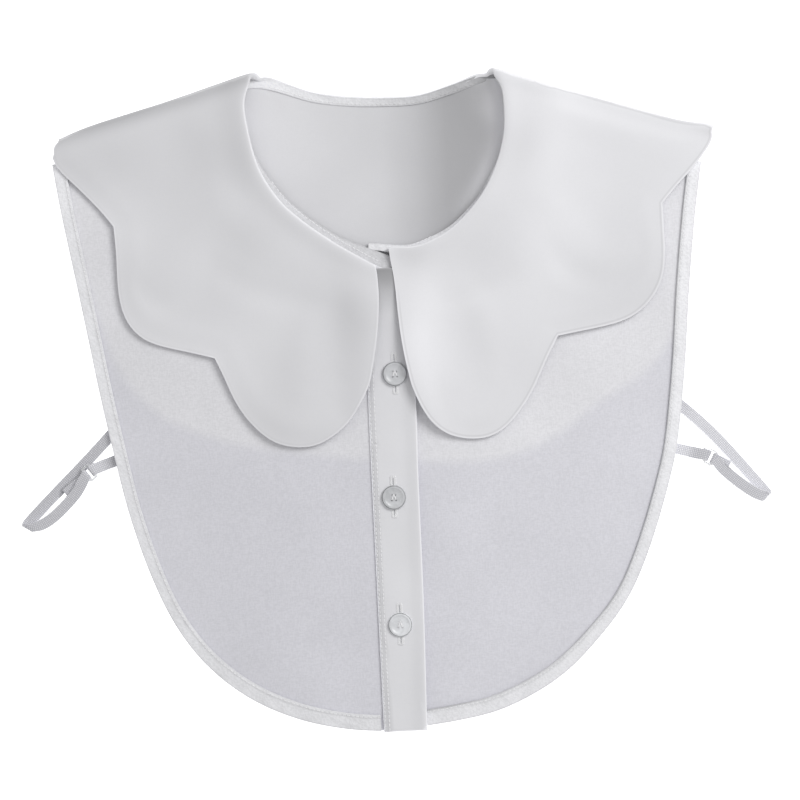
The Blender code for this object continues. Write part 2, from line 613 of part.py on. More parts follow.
def make_panels(collection, materials):
    for side, name in (("left", "front_left"), ("right", "front_right")):
        height = over_front_height if side == "left" else under_front_height
        neck_line = offset_inward(ROLL_LINE[side], -FRONT_NECK_OUT, NECK_MIDDLE)
        neck_points = neck_line[NECK_STEP:NECK_LAST:NECK_STEP]
        seam_way = unit(TIP[side] - PEAK[side])
        top = PEAK[side] - shoulder_normal(side) * SHOULDER_INSET + seam_way * SEAM_START
        if side == "left":
            middle = np.array([(right - PLACKET_MARGIN, y + PLACKET_END_MARGIN)
                               for y, left, right in PLACKET])[::-1]
            lead = [(middle[0][0], PLACKET[-1][0]), OVER_NECK]
        else:
            lead = UNDER_NECK
            middle = np.array(UNDER_SIDE)
        neck = curve_through([*lead, *neck_points, top], PANEL_COLUMNS)
        edge = curve_through([middle[-1], *BIB_EDGE[side]], PANEL_COLUMNS)
        shoulder = np.array([neck[-1], edge[-1]])
        middle[0] = neck[0]
        panel(name, neck, edge, curve_through(middle, SIDE_POINTS), shoulder, height, PANEL_ROWS, collection,
              materials["bib"])
        make_facing(side, collection, materials["facing"])


def make_facing(side, collection, material):
    beside_roll = offset_inward(ROLL_LINE[side], -FACING_NECK_OUT, NECK_MIDDLE)[list(FACING_NECK_POINTS)]
    neck = curve_through([*FACING_LEAD[side], *curve_through(beside_roll, FACING_POINTS)], FACING_COLUMNS)
    edge = curve_through(FACING_EDGE[side], FACING_COLUMNS)
    outer = np.array([neck[-1], FACING_CORNER[side], edge[-1]])
    panel("facing_" + side, neck, edge, np.array([neck[0], edge[0]]), outer, facing_height,
          np.linspace(0.0, 1.0, FACING_ROWS), collection, material)


def make_back_panel(collection, material):
    """The back, hidden but for the part of it that shows through the neck."""
    back_roll = curve_through(BACK_ROLL, BACK_ROLL_POINTS)
    neck_line = offset_inward(back_roll, BACK_NECK_IN, NECK_MIDDLE)[2:-2:NECK_STEP]
    corners = [PEAK[side] - shoulder_normal(side) * (SHOULDER_INSET + 1.0)
               + unit(TIP[side] - PEAK[side]) * SEAM_START for side in SIDES]
    neck = curve_through([corners[0], *neck_line, corners[1]], BACK_PANEL_COLUMNS)
    outline = [offset_inward(curve_through(BIB_EDGE[side], HEM_COLUMNS), BACK_INSET, BIB_MIDDLE)[:-1]
               for side in SIDES]
    edge = curve_through(np.vstack([outline[0][::-1][::2], outline[1][::2]]), BACK_PANEL_COLUMNS)
    panel("back_panel", neck, edge, np.array([neck[0], edge[0]]), np.array([neck[-1], edge[-1]]),
          back_height, BACK_PANEL_ROWS, collection, material)


def make_placket(collection, material):
    rows = curve_through(PLACKET, PLACKET_ROWS)
    across = np.linspace(0.0, 1.0, PLACKET_COLUMNS)
    plan = np.array([[(left + (right - left) * share, y) for share in across] for y, left, right in rows])
    grid = np.concatenate([plan, each(placket_height, plan)[..., None]], axis=2)
    surface("placket", grid, collection, material, CLOTH_WALL, faces_up=False)


def make_hems(collection, material):
    """The folded strip that is stitched on each front all along its lower outline."""
    for side, height in (("left", over_front_height), ("right", under_front_height)):
        outer = curve_through([HEM_START[side], *BIB_EDGE[side][1:-2], HEM_END[side]], HEM_COLUMNS)
        width = np.interp(outer[:, 1], HEM_NARROWS, (HEM_BOTTOM_WIDTH, HEM_SIDE_WIDTH))
        inner = offset_inward(outer, width, BIB_MIDDLE)
        inner[0, 0] = outer[0, 0]
        plan = np.stack([outer, (outer + inner) / 2, inner], axis=1)
        grid = np.concatenate([plan, (each(height, plan) + LAYER)[..., None]], axis=2)
        surface("hem_" + side, grid, collection, material, CLOTH_WALL, faces_up=side == "left")


def make_buttons(collection, material):
    """A rimmed shirt button turned from its half section."""
    radius = BUTTON_DIAMETER / 2
    section = [((radius - inside) * MM, 0.0, height * MM) for inside, height in BUTTON_SECTION]
    edges = [(i, i + 1) for i in range(len(section) - 1)]
    for number, (x, y) in enumerate(BUTTONS, start=1):
        mesh = bpy.data.meshes.new(f"button_{number}")
        mesh.from_pydata(section, edges, [])
        obj = new_object(f"button_{number}", mesh, collection, material)
        under = np.array([(x, y - radius), (x, y), (x, y + radius)])
        seat = placket_height(under).max() + CLOTH_WALL / 2 + SLACK
        obj.location = (x * MM, y * MM, seat * MM)
        screw = obj.modifiers.new("turned", "SCREW")
        screw.axis = "Z"
        screw.steps = BUTTON_STEPS
        screw.render_steps = BUTTON_STEPS
        screw.use_merge_vertices = True
        screw.merge_threshold = 0.00001


def band(name, path, collection, material):
    """A flat band of webbing along a path of x, y, z and heading in degrees."""
    path = np.array(path)
    heading = np.radians(path[:, 3])
    across = np.stack([-np.sin(heading), np.cos(heading), np.zeros(len(path))], axis=1)
    shares = np.linspace(-0.5, 0.5, 3)[None, :, None]
    grid = path[:, None, :3] + across[:, None] * shares * STRAP_WIDTH
    return surface(name, grid, collection, material, CLOTH_WALL)


def loop_round(bar, heading, tail):
    """The end of a band that comes in over a bar, turns round it and runs back under it."""
    turn = math.radians(heading)
    ahead = np.array([math.cos(turn), math.sin(turn)])
    points = []
    for angle in range(0, 181, 30):
        swing = math.radians(angle)
        plan = np.array(bar[:2]) + ahead * LOOP_RADIUS * math.sin(swing)
        points.append((*plan, bar[2] + LOOP_RADIUS * math.cos(swing), heading))
    plan = np.array(bar[:2]) - ahead * tail
    points.append((*plan, bar[2] - LOOP_RADIUS, heading))
    return points


def seated_under_front(path):
    """The path with its first two points, which the hem holds, raised to just under the front."""
    path = np.array(path)
    held = path[:SEWN_POINTS, :2]
    path[:SEWN_POINTS, 2] = under_front_height(held) - CLOTH_WALL - GAP
    return path.tolist()


def make_straps(collection, materials):
    for side in SIDES:
        x, y, z, heading = RING[side]
        turn = math.radians(heading)
        reach = np.array([math.cos(turn), math.sin(turn)]) * (RING_WIDTH / 2 - RING_WIRE)
        strap_bar = (x - reach[0], y - reach[1], z)
        tab_bar = (x + reach[0], y + reach[1], z)
        strap_end = [(*place, turned + 180)
                     for *place, turned in loop_round(strap_bar, heading, STRAP_END[side])]
        tab_end = loop_round(tab_bar, heading + 180, TAB_END)
        band("strap_" + side, seated_under_front(STRAP[side]) + strap_end, collection, materials["webbing"])
        band("tab_" + side, seated_under_front(TAB[side]) + tab_end, collection, materials["webbing"])
        make_ring("ring_" + side, (x, y, z), heading, collection, materials["plastic"])


def make_ring(name, middle, heading, collection, material):
    """A four-sided ring with round corners, bent from round wire."""
    half = np.array([RING_WIDTH / 2 - RING_WIRE, RING_LENGTH / 2 - RING_WIRE]) - RING_CORNER
    points = []
    for index, (sx, sy) in enumerate(((1, 1), (-1, 1), (-1, -1), (1, -1))):
        for step in range(4):
            angle = math.radians(90 * index + 30 * step)
            points.append((sx * half[0] + RING_CORNER * math.cos(angle),
                           sy * half[1] + RING_CORNER * math.sin(angle)))
    curve = bpy.data.curves.new(name, "CURVE")
    curve.dimensions = "3D"
    curve.bevel_depth = RING_WIRE * MM
    curve.bevel_resolution = 2
    spline = curve.splines.new("POLY")
    spline.points.add(len(points) - 1)
    for point, (x, y) in zip(spline.points, points):
        point.co = (x * MM, y * MM, 0.0, 1.0)
    spline.use_cyclic_u = True
    ring = bpy.data.objects.new(name, curve)
    collection.objects.link(ring)
    curve.materials.append(material)
    ring.location = [value * MM for value in middle]
    ring.rotation_euler = (0.0, 0.0, math.radians(heading))


def stand_on_origin(collection):
    """Moves everything so that the middle of the underside is at the origin."""
    bpy.context.view_layer.update()
    depsgraph = bpy.context.evaluated_depsgraph_get()
    low = np.full(3, np.inf)
    high = np.full(3, -np.inf)
    for obj in collection.objects:
        shape = obj.evaluated_get(depsgraph)
        mesh = shape.to_mesh()
        points = np.array([obj.matrix_world @ vertex.co for vertex in mesh.vertices])
        low = np.minimum(low, points.min(axis=0))
        high = np.maximum(high, points.max(axis=0))
        shape.to_mesh_clear()
    shift = np.array([(low[0] + high[0]) / 2, (low[1] + high[1]) / 2, low[2]])
    for obj in collection.objects:
        obj.location = [value - move for value, move in zip(obj.location, shift)]
    print("middle of the placket's lower end:", (-shift / MM).round(3), "size:", ((high - low) / MM).round(2))


def main():
    for obj in list(bpy.data.objects):
        bpy.data.objects.remove(obj, do_unlink=True)
    collection = bpy.data.collections.new("false_collar")
    bpy.context.scene.collection.children.link(collection)
    materials = {
        "collar": cloth("white collar cloth", (0.78, 0.78, 0.80)),
        "bib": cloth("sheer bib cloth", (0.66, 0.66, 0.70)),
        "facing": cloth("facing cloth", (0.76, 0.76, 0.77)),
        "binding": cloth("bias binding", (0.80, 0.80, 0.82)),
        "webbing": cloth("elastic webbing", (0.70, 0.70, 0.72), 0.7),
        "plastic": cloth("clear plastic", (0.86, 0.87, 0.88), 0.2),
        "pearl": cloth("pearl plastic", (0.80, 0.81, 0.82), 0.25),
    }
    make_collar(collection, materials["collar"])
    for side in SIDES:
        make_front_binding(side, collection, materials["binding"])
    make_back_binding(collection, materials["binding"])
    make_panels(collection, materials)
    make_back_panel(collection, materials["bib"])
    make_placket(collection, materials["collar"])
    make_hems(collection, materials["binding"])
    make_buttons(collection, materials["pearl"])
    make_straps(collection, materials)
    stand_on_origin(collection)


if __name__ == "__main__":
    main()
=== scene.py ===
"""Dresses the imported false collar: cloth, seams, stitches, buttons and elastic, on a pale floor.

Sizes in the tables are millimetres in the collar's own frame: X to the viewer's right, Y up to the neck,
Z up from the floor. Left and right are the viewer's.
"""

import json
import math

import bmesh
import bpy
import numpy as np
from bpy.props import FloatProperty, FloatVectorProperty, PointerProperty
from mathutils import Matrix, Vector
from mathutils.bvhtree import BVHTree

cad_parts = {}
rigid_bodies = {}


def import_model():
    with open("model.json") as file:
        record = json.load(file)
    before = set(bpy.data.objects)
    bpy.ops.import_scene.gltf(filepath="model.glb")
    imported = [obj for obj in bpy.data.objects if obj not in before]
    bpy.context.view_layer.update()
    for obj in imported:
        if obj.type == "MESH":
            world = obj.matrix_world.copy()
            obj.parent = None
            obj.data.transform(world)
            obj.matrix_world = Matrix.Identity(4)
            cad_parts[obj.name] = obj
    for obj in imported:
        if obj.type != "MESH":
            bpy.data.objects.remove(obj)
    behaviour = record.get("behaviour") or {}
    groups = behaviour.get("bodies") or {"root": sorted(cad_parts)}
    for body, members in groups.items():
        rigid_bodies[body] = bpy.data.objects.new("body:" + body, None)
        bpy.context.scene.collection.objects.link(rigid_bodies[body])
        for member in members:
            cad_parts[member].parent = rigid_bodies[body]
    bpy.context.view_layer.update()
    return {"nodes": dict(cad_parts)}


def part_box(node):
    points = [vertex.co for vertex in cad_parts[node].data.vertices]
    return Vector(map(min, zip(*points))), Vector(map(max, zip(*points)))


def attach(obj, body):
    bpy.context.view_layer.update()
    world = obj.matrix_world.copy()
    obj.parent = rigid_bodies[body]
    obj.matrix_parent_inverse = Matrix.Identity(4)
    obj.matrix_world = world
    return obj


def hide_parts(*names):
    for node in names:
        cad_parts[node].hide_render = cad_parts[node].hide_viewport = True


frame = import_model()

bl_info = {
    "name": "False collar",
    "version": (1, 0, 0),
    "blender": (4, 5, 0),
    "location": "3D View > Sidebar > False collar",
    "description": "Cloth, seams, buttons and elastic of a scalloped false collar",
    "category": "Add Mesh",
}

MM = 0.001
SIDES = ("left", "right")

# The roll of the collar round the neck, from the front end to the shoulder: x, y
ROLL = {
    "left": [(-4.5, 74.6), (-14.7, 80.6), (-28.6, 89.5), (-45.5, 102.5), (-56.8, 114.3), (-66.3, 131.3),
             (-70.8, 149.9), (-72.2, 164.9), (-69.7, 179.8)],
    "right": [(4.3, 79.3), (25.3, 86.9), (39.4, 95.0), (54.0, 110.3), (63.0, 126.9), (67.7, 143.2),
              (68.5, 156.9), (67.8, 167.9), (65.5, 178.3)],
}
# The front edge of each collar half, from the neck down: x, y
FRONT_EDGE = {
    "left": [(-4.5, 74.6), (-4.3, 55.8), (-6.5, 33.9), (-11.6, 9.4), (-23.5, -10.4)],
    "right": [(4.3, 79.3), (5.2, 55.4), (7.1, 30.5), (11.1, 8.3), (17.9, -8.6)],
}
# The lower outline of each front, from beside the placket up to the shoulder: x, y
BIB_EDGE = {
    "left": [(-14.5, -180.5), (-28.0, -179.6), (-55.7, -173.5), (-83.2, -161.1), (-106.0, -142.9),
             (-123.1, -120.1), (-136.0, -91.4), (-146.9, -55.6), (-153.5, -22.8), (-159.2, 8.3),
             (-164.7, 42.8), (-170.2, 76.6), (-176.1, 112.1), (-179.6, 138.4)],
    "right": [(12.1, -179.1), (26.7, -177.0), (52.3, -172.1), (83.9, -156.6), (107.5, -135.2),
              (125.7, -112.4), (139.5, -82.3), (150.8, -48.9), (155.5, -30.7), (161.5, 11.4),
              (165.7, 53.0), (171.1, 95.2), (175.9, 123.0)],
}
# How wide the hem is: y, width
HEM_WIDTHS = ((-171.0, 8.8), (-111.0, 7.0))
# The strip over the back neck seam, from the left shoulder to the right one: x, y of its middle line
BACK_STRIP = [(-58.8, 174.4), (-48.0, 171.2), (-34.0, 166.5), (-14.3, 163.4), (6.6, 162.4), (23.7, 163.2),
              (43.2, 168.7), (54.7, 172.6)]
# The middle of each button, from the neck down: x, y
BUTTONS = [(2.3, 14.8), (-1.5, -52.8), (-1.4, -122.7)]
# How bright each button is drawn, as a share of the resin's colour: painted light, the same resin
# lighter or darker as the light falls on each button
BUTTON_PAINTED_LIGHT = (1.06, 1.04, 1.32)
BUTTON_THICKNESS = 2.0
BUTTON_SINK = 0.9
# The placket's edges: y, x
PLACKET_LEFT = [(-181.2, -13.1), (-0.2, -12.9), (67.8, -12.5)]
PLACKET_RIGHT = [(-181.2, 10.6), (-111.2, 12.1), (-41.2, 12.5), (-0.2, 13.3), (67.8, 12.9)]

# The middle line of each strap from the hem round to its loose end, as it is threaded: x, y, z
STRAP_PATH = {
    "left": [(-152.9, -9.1, 1.7), (-156.5, -12.6, 1.4), (-170.1, -26.1, 0.5), (-188.1, -42.9, 0.5),
             (-201.2, -55.7, 0.5), (-203.3, -58.2, 1.4), (-203.7, -59.2, 2.3), (-203.1, -59.9, 3.2),
             (-200.9, -60.0, 3.9), (-196.8, -59.3, 4.0), (-192.3, -57.2, 3.9), (-186.7, -53.4, 3.9),
             (-180.2, -47.3, 3.9), (-174.9, -41.6, 4.2), (-169.8, -32.9, 4.9), (-168.6, -32.0, 3.4),
             (-169.8, -32.9, 1.9), (-181.8, -41.9, 1.9)],
    "right": [(155.3, -7.6, 1.7), (160.1, -11.6, 1.4), (169.0, -19.9, 0.5), (177.6, -29.0, 0.5),
              (187.7, -41.0, 0.5), (200.1, -56.6, 0.5), (203.1, -60.6, 1.4), (203.7, -62.0, 2.3),
              (202.9, -62.6, 3.2), (200.3, -61.8, 3.9), (196.2, -59.8, 4.0), (191.1, -56.2, 3.9),
              (184.9, -51.0, 3.9), (179.3, -45.8, 4.2), (175.5, -40.4, 4.9), (174.3, -39.8, 3.4),
              (175.5, -40.4, 1.9), (183.0, -45.0, 1.9)],
}
TAB_PATH = {
    "left": [(-150.3, -24.4, 1.7), (-154.3, -25.8, 1.4), (-158.3, -27.0, 1.4), (-161.7, -28.2, 3.2),
             (-165.8, -30.0, 4.9), (-167.2, -31.0, 3.4), (-163.4, -28.4, 1.9)],
    "right": [(152.1, -32.8, 1.7), (156.7, -34.2, 1.4), (161.7, -35.6, 1.4), (166.1, -36.8, 3.2),
              (171.1, -38.1, 4.9), (172.5, -38.8, 3.4), (168.5, -36.6, 1.9)],
}
# Between the scallops the collar's outline has sharp corners, at the front and at the back: x, y
CORNERS = [(-4.5, 74.6), (4.3, 79.3), (-95.8, 28.1), (-147.6, 102.8), (92.7, 31.3), (153.3, 101.0),
           (182.7, 136.8), (181.3, 141.4), (-149.3, 108.8), (-93.3, 76.8), (90.7, 76.8), (150.7, 104.8)]
# The outer end of each shoulder line, which starts where the roll ends: x, y
SHOULDER_TIP = {"left": (-175.7, 154.8), "right": (181.3, 141.4)}
# The lower edge of each facing, which shows through the front, from the placket out to the hem: x, y
FACING_ARC = {
    "left": [(-14.8, -31.8), (-76.4, -22.1), (-104.1, -13.6), (-126.1, -2.6), (-141.9, 13.6),
             (-151.3, 29.8), (-158.0, 50.0), (-166.0, 78.0)],
    "right": [(14.7, -33.7), (45.2, -35.2), (70.2, -31.0), (93.2, -21.1), (111.0, -7.6), (137.0, 7.6),
              (152.7, 23.8), (167.0, 46.0), (178.0, 84.0)],
}
# How far up the back neck and the left shoulder lie from where they are cut: x, distance
NECK_RISE = [(-176.0, 0.0), (-118.0, 0.7), (-69.0, 2.2), (-40.0, 1.7), (0.0, 1.6), (35.0, 1.2), (60.0, 0.4),
             (75.0, 0.0)]
# Painted shade: the back is drawn darker towards the right across the neck hole, and so is the strip
# above it: x, share of its brightness
BACK_SHADE = [(-60.0, 1.14), (-16.0, 1.02), (1.4, 0.96), (10.2, 0.88), (19.0, 0.81), (27.8, 0.71),
              (36.6, 0.63), (46.0, 0.62)]
STRIP_SHADE = [(-60.0, 1.08), (-20.0, 0.96), (0.0, 0.88), (20.0, 0.76), (40.0, 0.62), (60.0, 0.54)]
# Painted shade: the placket is drawn darker in the gap between the collar's front ends: y, share of its
# brightness
GAP_SHADE = [(34.0, 1.02), (47.0, 0.97), (59.5, 0.72), (66.0, 0.54), (72.0, 0.46)]
# How much darker each hem's inner edge is drawn, as painted shadow; below 0 it is lighter, as painted
# highlight
HEM_LINE = {"hem_left": -0.12, "hem_right": 0.35}
# How bright each strip is drawn, as a share of the tape's colour: painted light and shade, the same tape
# lighter or darker by how each strip lies in the light
TAPE_PAINTED_LIGHT = {"hem_left": 1.0, "hem_right": 1.04, "binding_left": 0.76, "binding_right": 0.92,
             "binding_back": 1.0}
# Where the collar's tips are drawn out or rounded off in the plan: place, reach, way
TIP_SHIFTS = [((182.0, 139.0), 12.0, (2.6, 2.0)), ((-180.7, 142.4), 4.0, (1.8, -0.4)),
              ((-177.6, 148.0), 4.0, (-1.3, 0.7))]
# Painted light and shade on the collar, soft lighter and darker places: place, reach, change
COLLAR_PAINTED_LIGHT = [((-16.0, 48.0), 20.0, -0.11), ((20.0, 26.0), 24.0, 0.08), ((22.0, 58.0), 20.0, 0.07),
                ((136.0, 58.0), 30.0, -0.08), ((122.0, 150.0), 40.0, 0.06), ((74.0, 138.0), 15.0, -0.08),
                ((-150.0, 145.0), 40.0, -0.05), ((-60.0, 10.0), 30.0, -0.04), ((-80.0, 137.0), 15.0, -0.05),
                ((-66.0, 54.0), 24.0, 0.03), ((92.0, 94.0), 22.0, 0.03)]
# The placket's two rows of stitches, from its left edge
STITCH_INSETS = (0.9, 3.1)
# How far pieces are moved from their solids, so that they lie as the real ones do
CORNER_PULL = (-2.3, 4.9)
CORNER_DROP = 1.5
FRONT_EDGE_DROP = 2.6
PLACKET_STRETCH = 5.0
STRIP_END_PULLS = ((-6.5, 2.0), (9.0, 3.4))
STRIP_DROP = 1.2
LEFT_STRIP_PULL = (4.6, -1.8)
STRIP_TUCK = 2.4
BACK_EDGE_RISE = 5.5
BACK_RISE = 2.0
HEM_END_SHIFT = 2.6
GAP_DEPTH = 0.6
# Where a solid's rim stays sharp when it is made finer, and how its other edges are rounded
CORNER_REACH = 3.0
WALL_REACH = 1.6
RIM_TURN = math.radians(68.0)
RIM_STEEPNESS = 0.6
ROUNDED_TURN = math.radians(50.0)
RIM_ROUND = 0.3
QUAD_ANGLE = 1.2
# A thread's slubs are drawn about three times as long as wide: the scale of the noise along it
THREAD_STRETCH = 0.32
# How much a cloth's soft cloudy patches differ
CLOUD_CONTRAST = 0.018
# How far a stitch's middle lies above the cloth
STITCH_RISE = 0.05
# A shader step that eases in and out
SMOOTHLY = {"interpolation_type": "SMOOTHSTEP"}


class ClothSettings(bpy.types.PropertyGroup):
    """Colours of the cloth, and how strongly it folds."""
    collar_colour: FloatVectorProperty(
        name="Collar", description="Cloth of the collar, placket, facings and back", subtype="COLOR", size=3,
        default=(0.80, 0.799, 0.823), min=0.0, max=1.0)
    bib_colour: FloatVectorProperty(
        name="Bib", description="Sheer cloth of the fronts", subtype="COLOR", size=3,
        default=(0.745, 0.742, 0.79), min=0.0, max=1.0)
    roll_height: FloatProperty(
        name="Roll", description="How far the rolled neck edge stands up", default=2.2 * MM, unit="LENGTH")
    fold_depth: FloatProperty(
        name="Folds", description="Height of the broad soft folds in the collar", default=1.0 * MM,
        unit="LENGTH")
    pucker_depth: FloatProperty(
        name="Puckers", description="Height of the puckers along a stitched edge", default=0.16 * MM,
        unit="LENGTH")


class TrimSettings(bpy.types.PropertyGroup):
    """Sizes and colours of the thread, the buttons and the elastic."""
    stitch_pitch: FloatProperty(
        name="Stitch pitch", description="From one stitch to the next", default=2.4 * MM, unit="LENGTH")
    thread_width: FloatProperty(
        name="Thread", description="Thickness of the sewing thread", default=0.55 * MM, unit="LENGTH")
    button_colour: FloatVectorProperty(
        name="Buttons", description="Clear grey resin of the buttons", subtype="COLOR", size=3,
        default=(0.66, 0.67, 0.69), min=0.0, max=1.0)
    buttonhole_length: FloatProperty(
        name="Buttonhole", description="Length of each buttonhole", default=22.0 * MM, unit="LENGTH")


class StudioSettings(bpy.types.PropertyGroup):
    """The camera and the light."""
    camera_height: FloatProperty(
        name="Camera height", description="From the floor to the lens", default=1.8, unit="LENGTH")
    view_width: FloatProperty(
        name="View width", description="Width of floor that the picture shows", default=0.44,
        unit="LENGTH")
    roll: FloatProperty(
        name="Roll", description="How far the collar is turned in the picture",
        default=math.radians(-2.8), unit="ROTATION")
    key_power: FloatProperty(name="Key light", description="Power of the soft key light", default=15.6)
    fill: FloatProperty(name="Fill", description="Strength of the even light all round", default=0.55)


def smooth(value):
    """An S-shaped step from 0 at 0 to 1 at 1."""
    value = np.clip(value, 0.0, 1.0)
    return value * value * (3.0 - 2.0 * value)


def bell(distance, width):
    """1 at no distance, falling to 0 over a few widths."""
    return np.exp(-(distance / width) ** 2)


def around(plan, place, reach):
    """1 at a place in the plan, falling to 0 over a few reaches."""
    return bell(np.linalg.norm(plan - place, axis=1), reach)


def length_along(line):
    """How far along a line each of its points lies."""
    return np.concatenate([[0.0], np.cumsum(np.linalg.norm(np.diff(line, axis=0), axis=1))])


def curve_through(points, step):
    """A smooth curve through the points, with points about a step apart."""
    points = np.array(points, dtype=float)
    ends = np.vstack([2 * points[0] - points[1], points, 2 * points[-1] - points[-2]])
    dense = []
    for a, b, c, d in zip(ends, ends[1:], ends[2:], ends[3:]):
        for u in np.linspace(0.0, 1.0, 16, endpoint=False):
            dense.append(0.5 * (2 * b + (c - a) * u + (2 * a - 5 * b + 4 * c - d) * u ** 2
                                + (3 * b - a - 3 * c + d) * u ** 3))
    dense = np.array(dense + [points[-1]])
    along = length_along(dense)
    wanted = np.linspace(0.0, along[-1], max(2, round(along[-1] / step) + 1))
    return np.stack([np.interp(wanted, along, dense[:, k]) for k in range(points.shape[1])], axis=1)


def leftward(line):
    """At each point of a line in the plan, the direction to its left."""
    along = np.gradient(line, axis=0)
    along /= np.linalg.norm(along, axis=1)[:, None]
    return np.stack([-along[:, 1], along[:, 0]], axis=1)


def moved_aside(line, distance):
    """The line moved to its left, as seen along it, by a distance or one distance a point."""
    return line + leftward(line) * np.reshape(distance, (-1, 1))


def near_line(points, line):
    """For each point: the distance to a line, how far along it the nearest place is, and the signed
    distance to its left in the plan."""
    best = np.full(len(points), np.inf)
    place = np.zeros(len(points))
    aside = np.zeros(len(points))
    before = 0.0
    for a, b in zip(line, line[1:]):
        way = b - a
        length = np.linalg.norm(way)
        share = np.clip((points - a) @ way / length ** 2, 0.0, 1.0)
        off = points - (a + share[:, None] * way)
        distance = np.linalg.norm(off, axis=1)
        nearer = distance < best
        best = np.where(nearer, distance, best)
        place = np.where(nearer, before + share * length, place)
        aside = np.where(nearer, (way[0] * off[:, 1] - way[1] * off[:, 0]) / length, aside)
        before += length
    return best, place, aside


def left_of(line, place):
    """At places along a line, the direction in the plan to its left."""
    reach = length_along(line)
    return np.stack([np.interp(place, reach, way) for way in leftward(line).T], axis=1)


def from_table(values, table):
    """Read between the rows of a table of two columns."""
    return np.interp(values, *np.array(table).T)


def settled(plan):
    """The plan as the garment lies: its back neck and its left shoulder a little further up."""
    moved = np.array(plan, dtype=float)
    moved[:, 1] += from_table(moved[:, 0], NECK_RISE) * smooth((moved[:, 1] - 125.0) / 35.0)
    return moved


def swell(plan, size, seed):
    """A calm random swell over the plan, mostly between -1 and 1, with its hills about a size apart."""
    count = 8
    chance = np.random.default_rng(seed)
    total = np.zeros(len(plan))
    for _ in range(count):
        way = chance.uniform(0.0, 2 * math.pi)
        length = size * chance.uniform(0.7, 1.7)
        shift = chance.uniform(0.0, 2 * math.pi)
        total += np.sin(2 * math.pi * (plan[:, 0] * math.cos(way) + plan[:, 1] * math.sin(way)) / length
                        + shift)
    return total / math.sqrt(count)


def soft_ridge(plan, path, width):
    """1 on a given crease, falling to 0 over its width and towards both of its ends."""
    line = curve_through(path, 4.0)
    distance, place = near_line(plan, line)[:2]
    share = place / max(place.max(), 1e-6)
    return bell(distance, width) * np.sin(math.pi * np.clip(share, 0.0, 1.0)) ** 0.6


ROLL_LINE = {side: curve_through(ROLL[side], 3.0) for side in SIDES}
FRONT_LINE = {side: curve_through(FRONT_EDGE[side], 3.0) for side in SIDES}


def read_points(obj):
    """A mesh's points in millimetres."""
    flat = np.empty(len(obj.data.vertices) * 3)
    obj.data.vertices.foreach_get("co", flat)
    return flat.reshape(-1, 3) / MM


def write_points(obj, points):
    obj.data.vertices.foreach_set("co", (points * MM).ravel())
    obj.data.update()


def set_attribute(obj, name, values):
    """Stores one number for each point, for the materials to read."""
    made = obj.data.attributes.get(name) or obj.data.attributes.new(name, "FLOAT", "POINT")
    made.data.foreach_set("value", np.asarray(values, dtype=np.float32))


def add_object(name, data):
    obj = bpy.data.objects.new(name, data)
    bpy.context.scene.collection.objects.link(obj)
    return obj


def select_only(obj):
    bpy.ops.object.select_all(action="DESELECT")
    obj.select_set(True)
    bpy.context.view_layer.objects.active = obj


def keep_rims(obj):
    """Creases the rims and corners of a cloth piece, so that they keep their line when it is made finer."""
    shape = bmesh.new()
    shape.from_mesh(obj.data)
    crease = np.zeros(len(shape.edges))
    for edge in shape.edges:
        if len(edge.link_faces) != 2:
            continue
        a, b = (vert.co / MM for vert in edge.verts)
        turn = edge.calc_face_angle(0.0)
        upright = abs(a.z - b.z) > 0.8 * (a - b).length and (a - b).length < WALL_REACH
        at_corner = any(math.hypot(a.x - x, a.y - y) < CORNER_REACH for x, y in CORNERS)
        if turn > RIM_TURN or (upright and at_corner):
            crease[edge.index] = 1.0
    shape.free()
    made = obj.data.attributes.new("crease_edge", "FLOAT", "EDGE")
    made.data.foreach_set("value", crease.astype(np.float32))


def cloth_copy(name, node, levels):
    """A fine, smooth copy of a solid's form, which the folds are then worked into."""
    obj = add_object(name, frame["nodes"][node].data.copy())
    obj.data.name = name
    obj.data.materials.clear()
    select_only(obj)
    bpy.ops.mesh.customdata_custom_splitnormals_clear()
    bpy.ops.object.mode_set(mode="EDIT")
    bpy.ops.mesh.select_all(action="SELECT")
    bpy.ops.mesh.remove_doubles(threshold=0.02 * MM)
    bpy.ops.mesh.tris_convert_to_quads(face_threshold=QUAD_ANGLE, shape_threshold=QUAD_ANGLE)
    bpy.ops.object.mode_set(mode="OBJECT")
    keep_rims(obj)
    finer = obj.modifiers.new("finer", "SUBSURF")
    finer.levels = levels
    finer.render_levels = levels
    rounded = obj.modifiers.new("rounded", "BEVEL")
    rounded.limit_method = "ANGLE"
    rounded.angle_limit = ROUNDED_TURN
    rounded.width = RIM_ROUND * MM
    rounded.segments = 2
    for modifier in ("finer", "rounded"):
        bpy.ops.object.modifier_apply(modifier=modifier)
    bpy.ops.object.shade_smooth()
    return obj


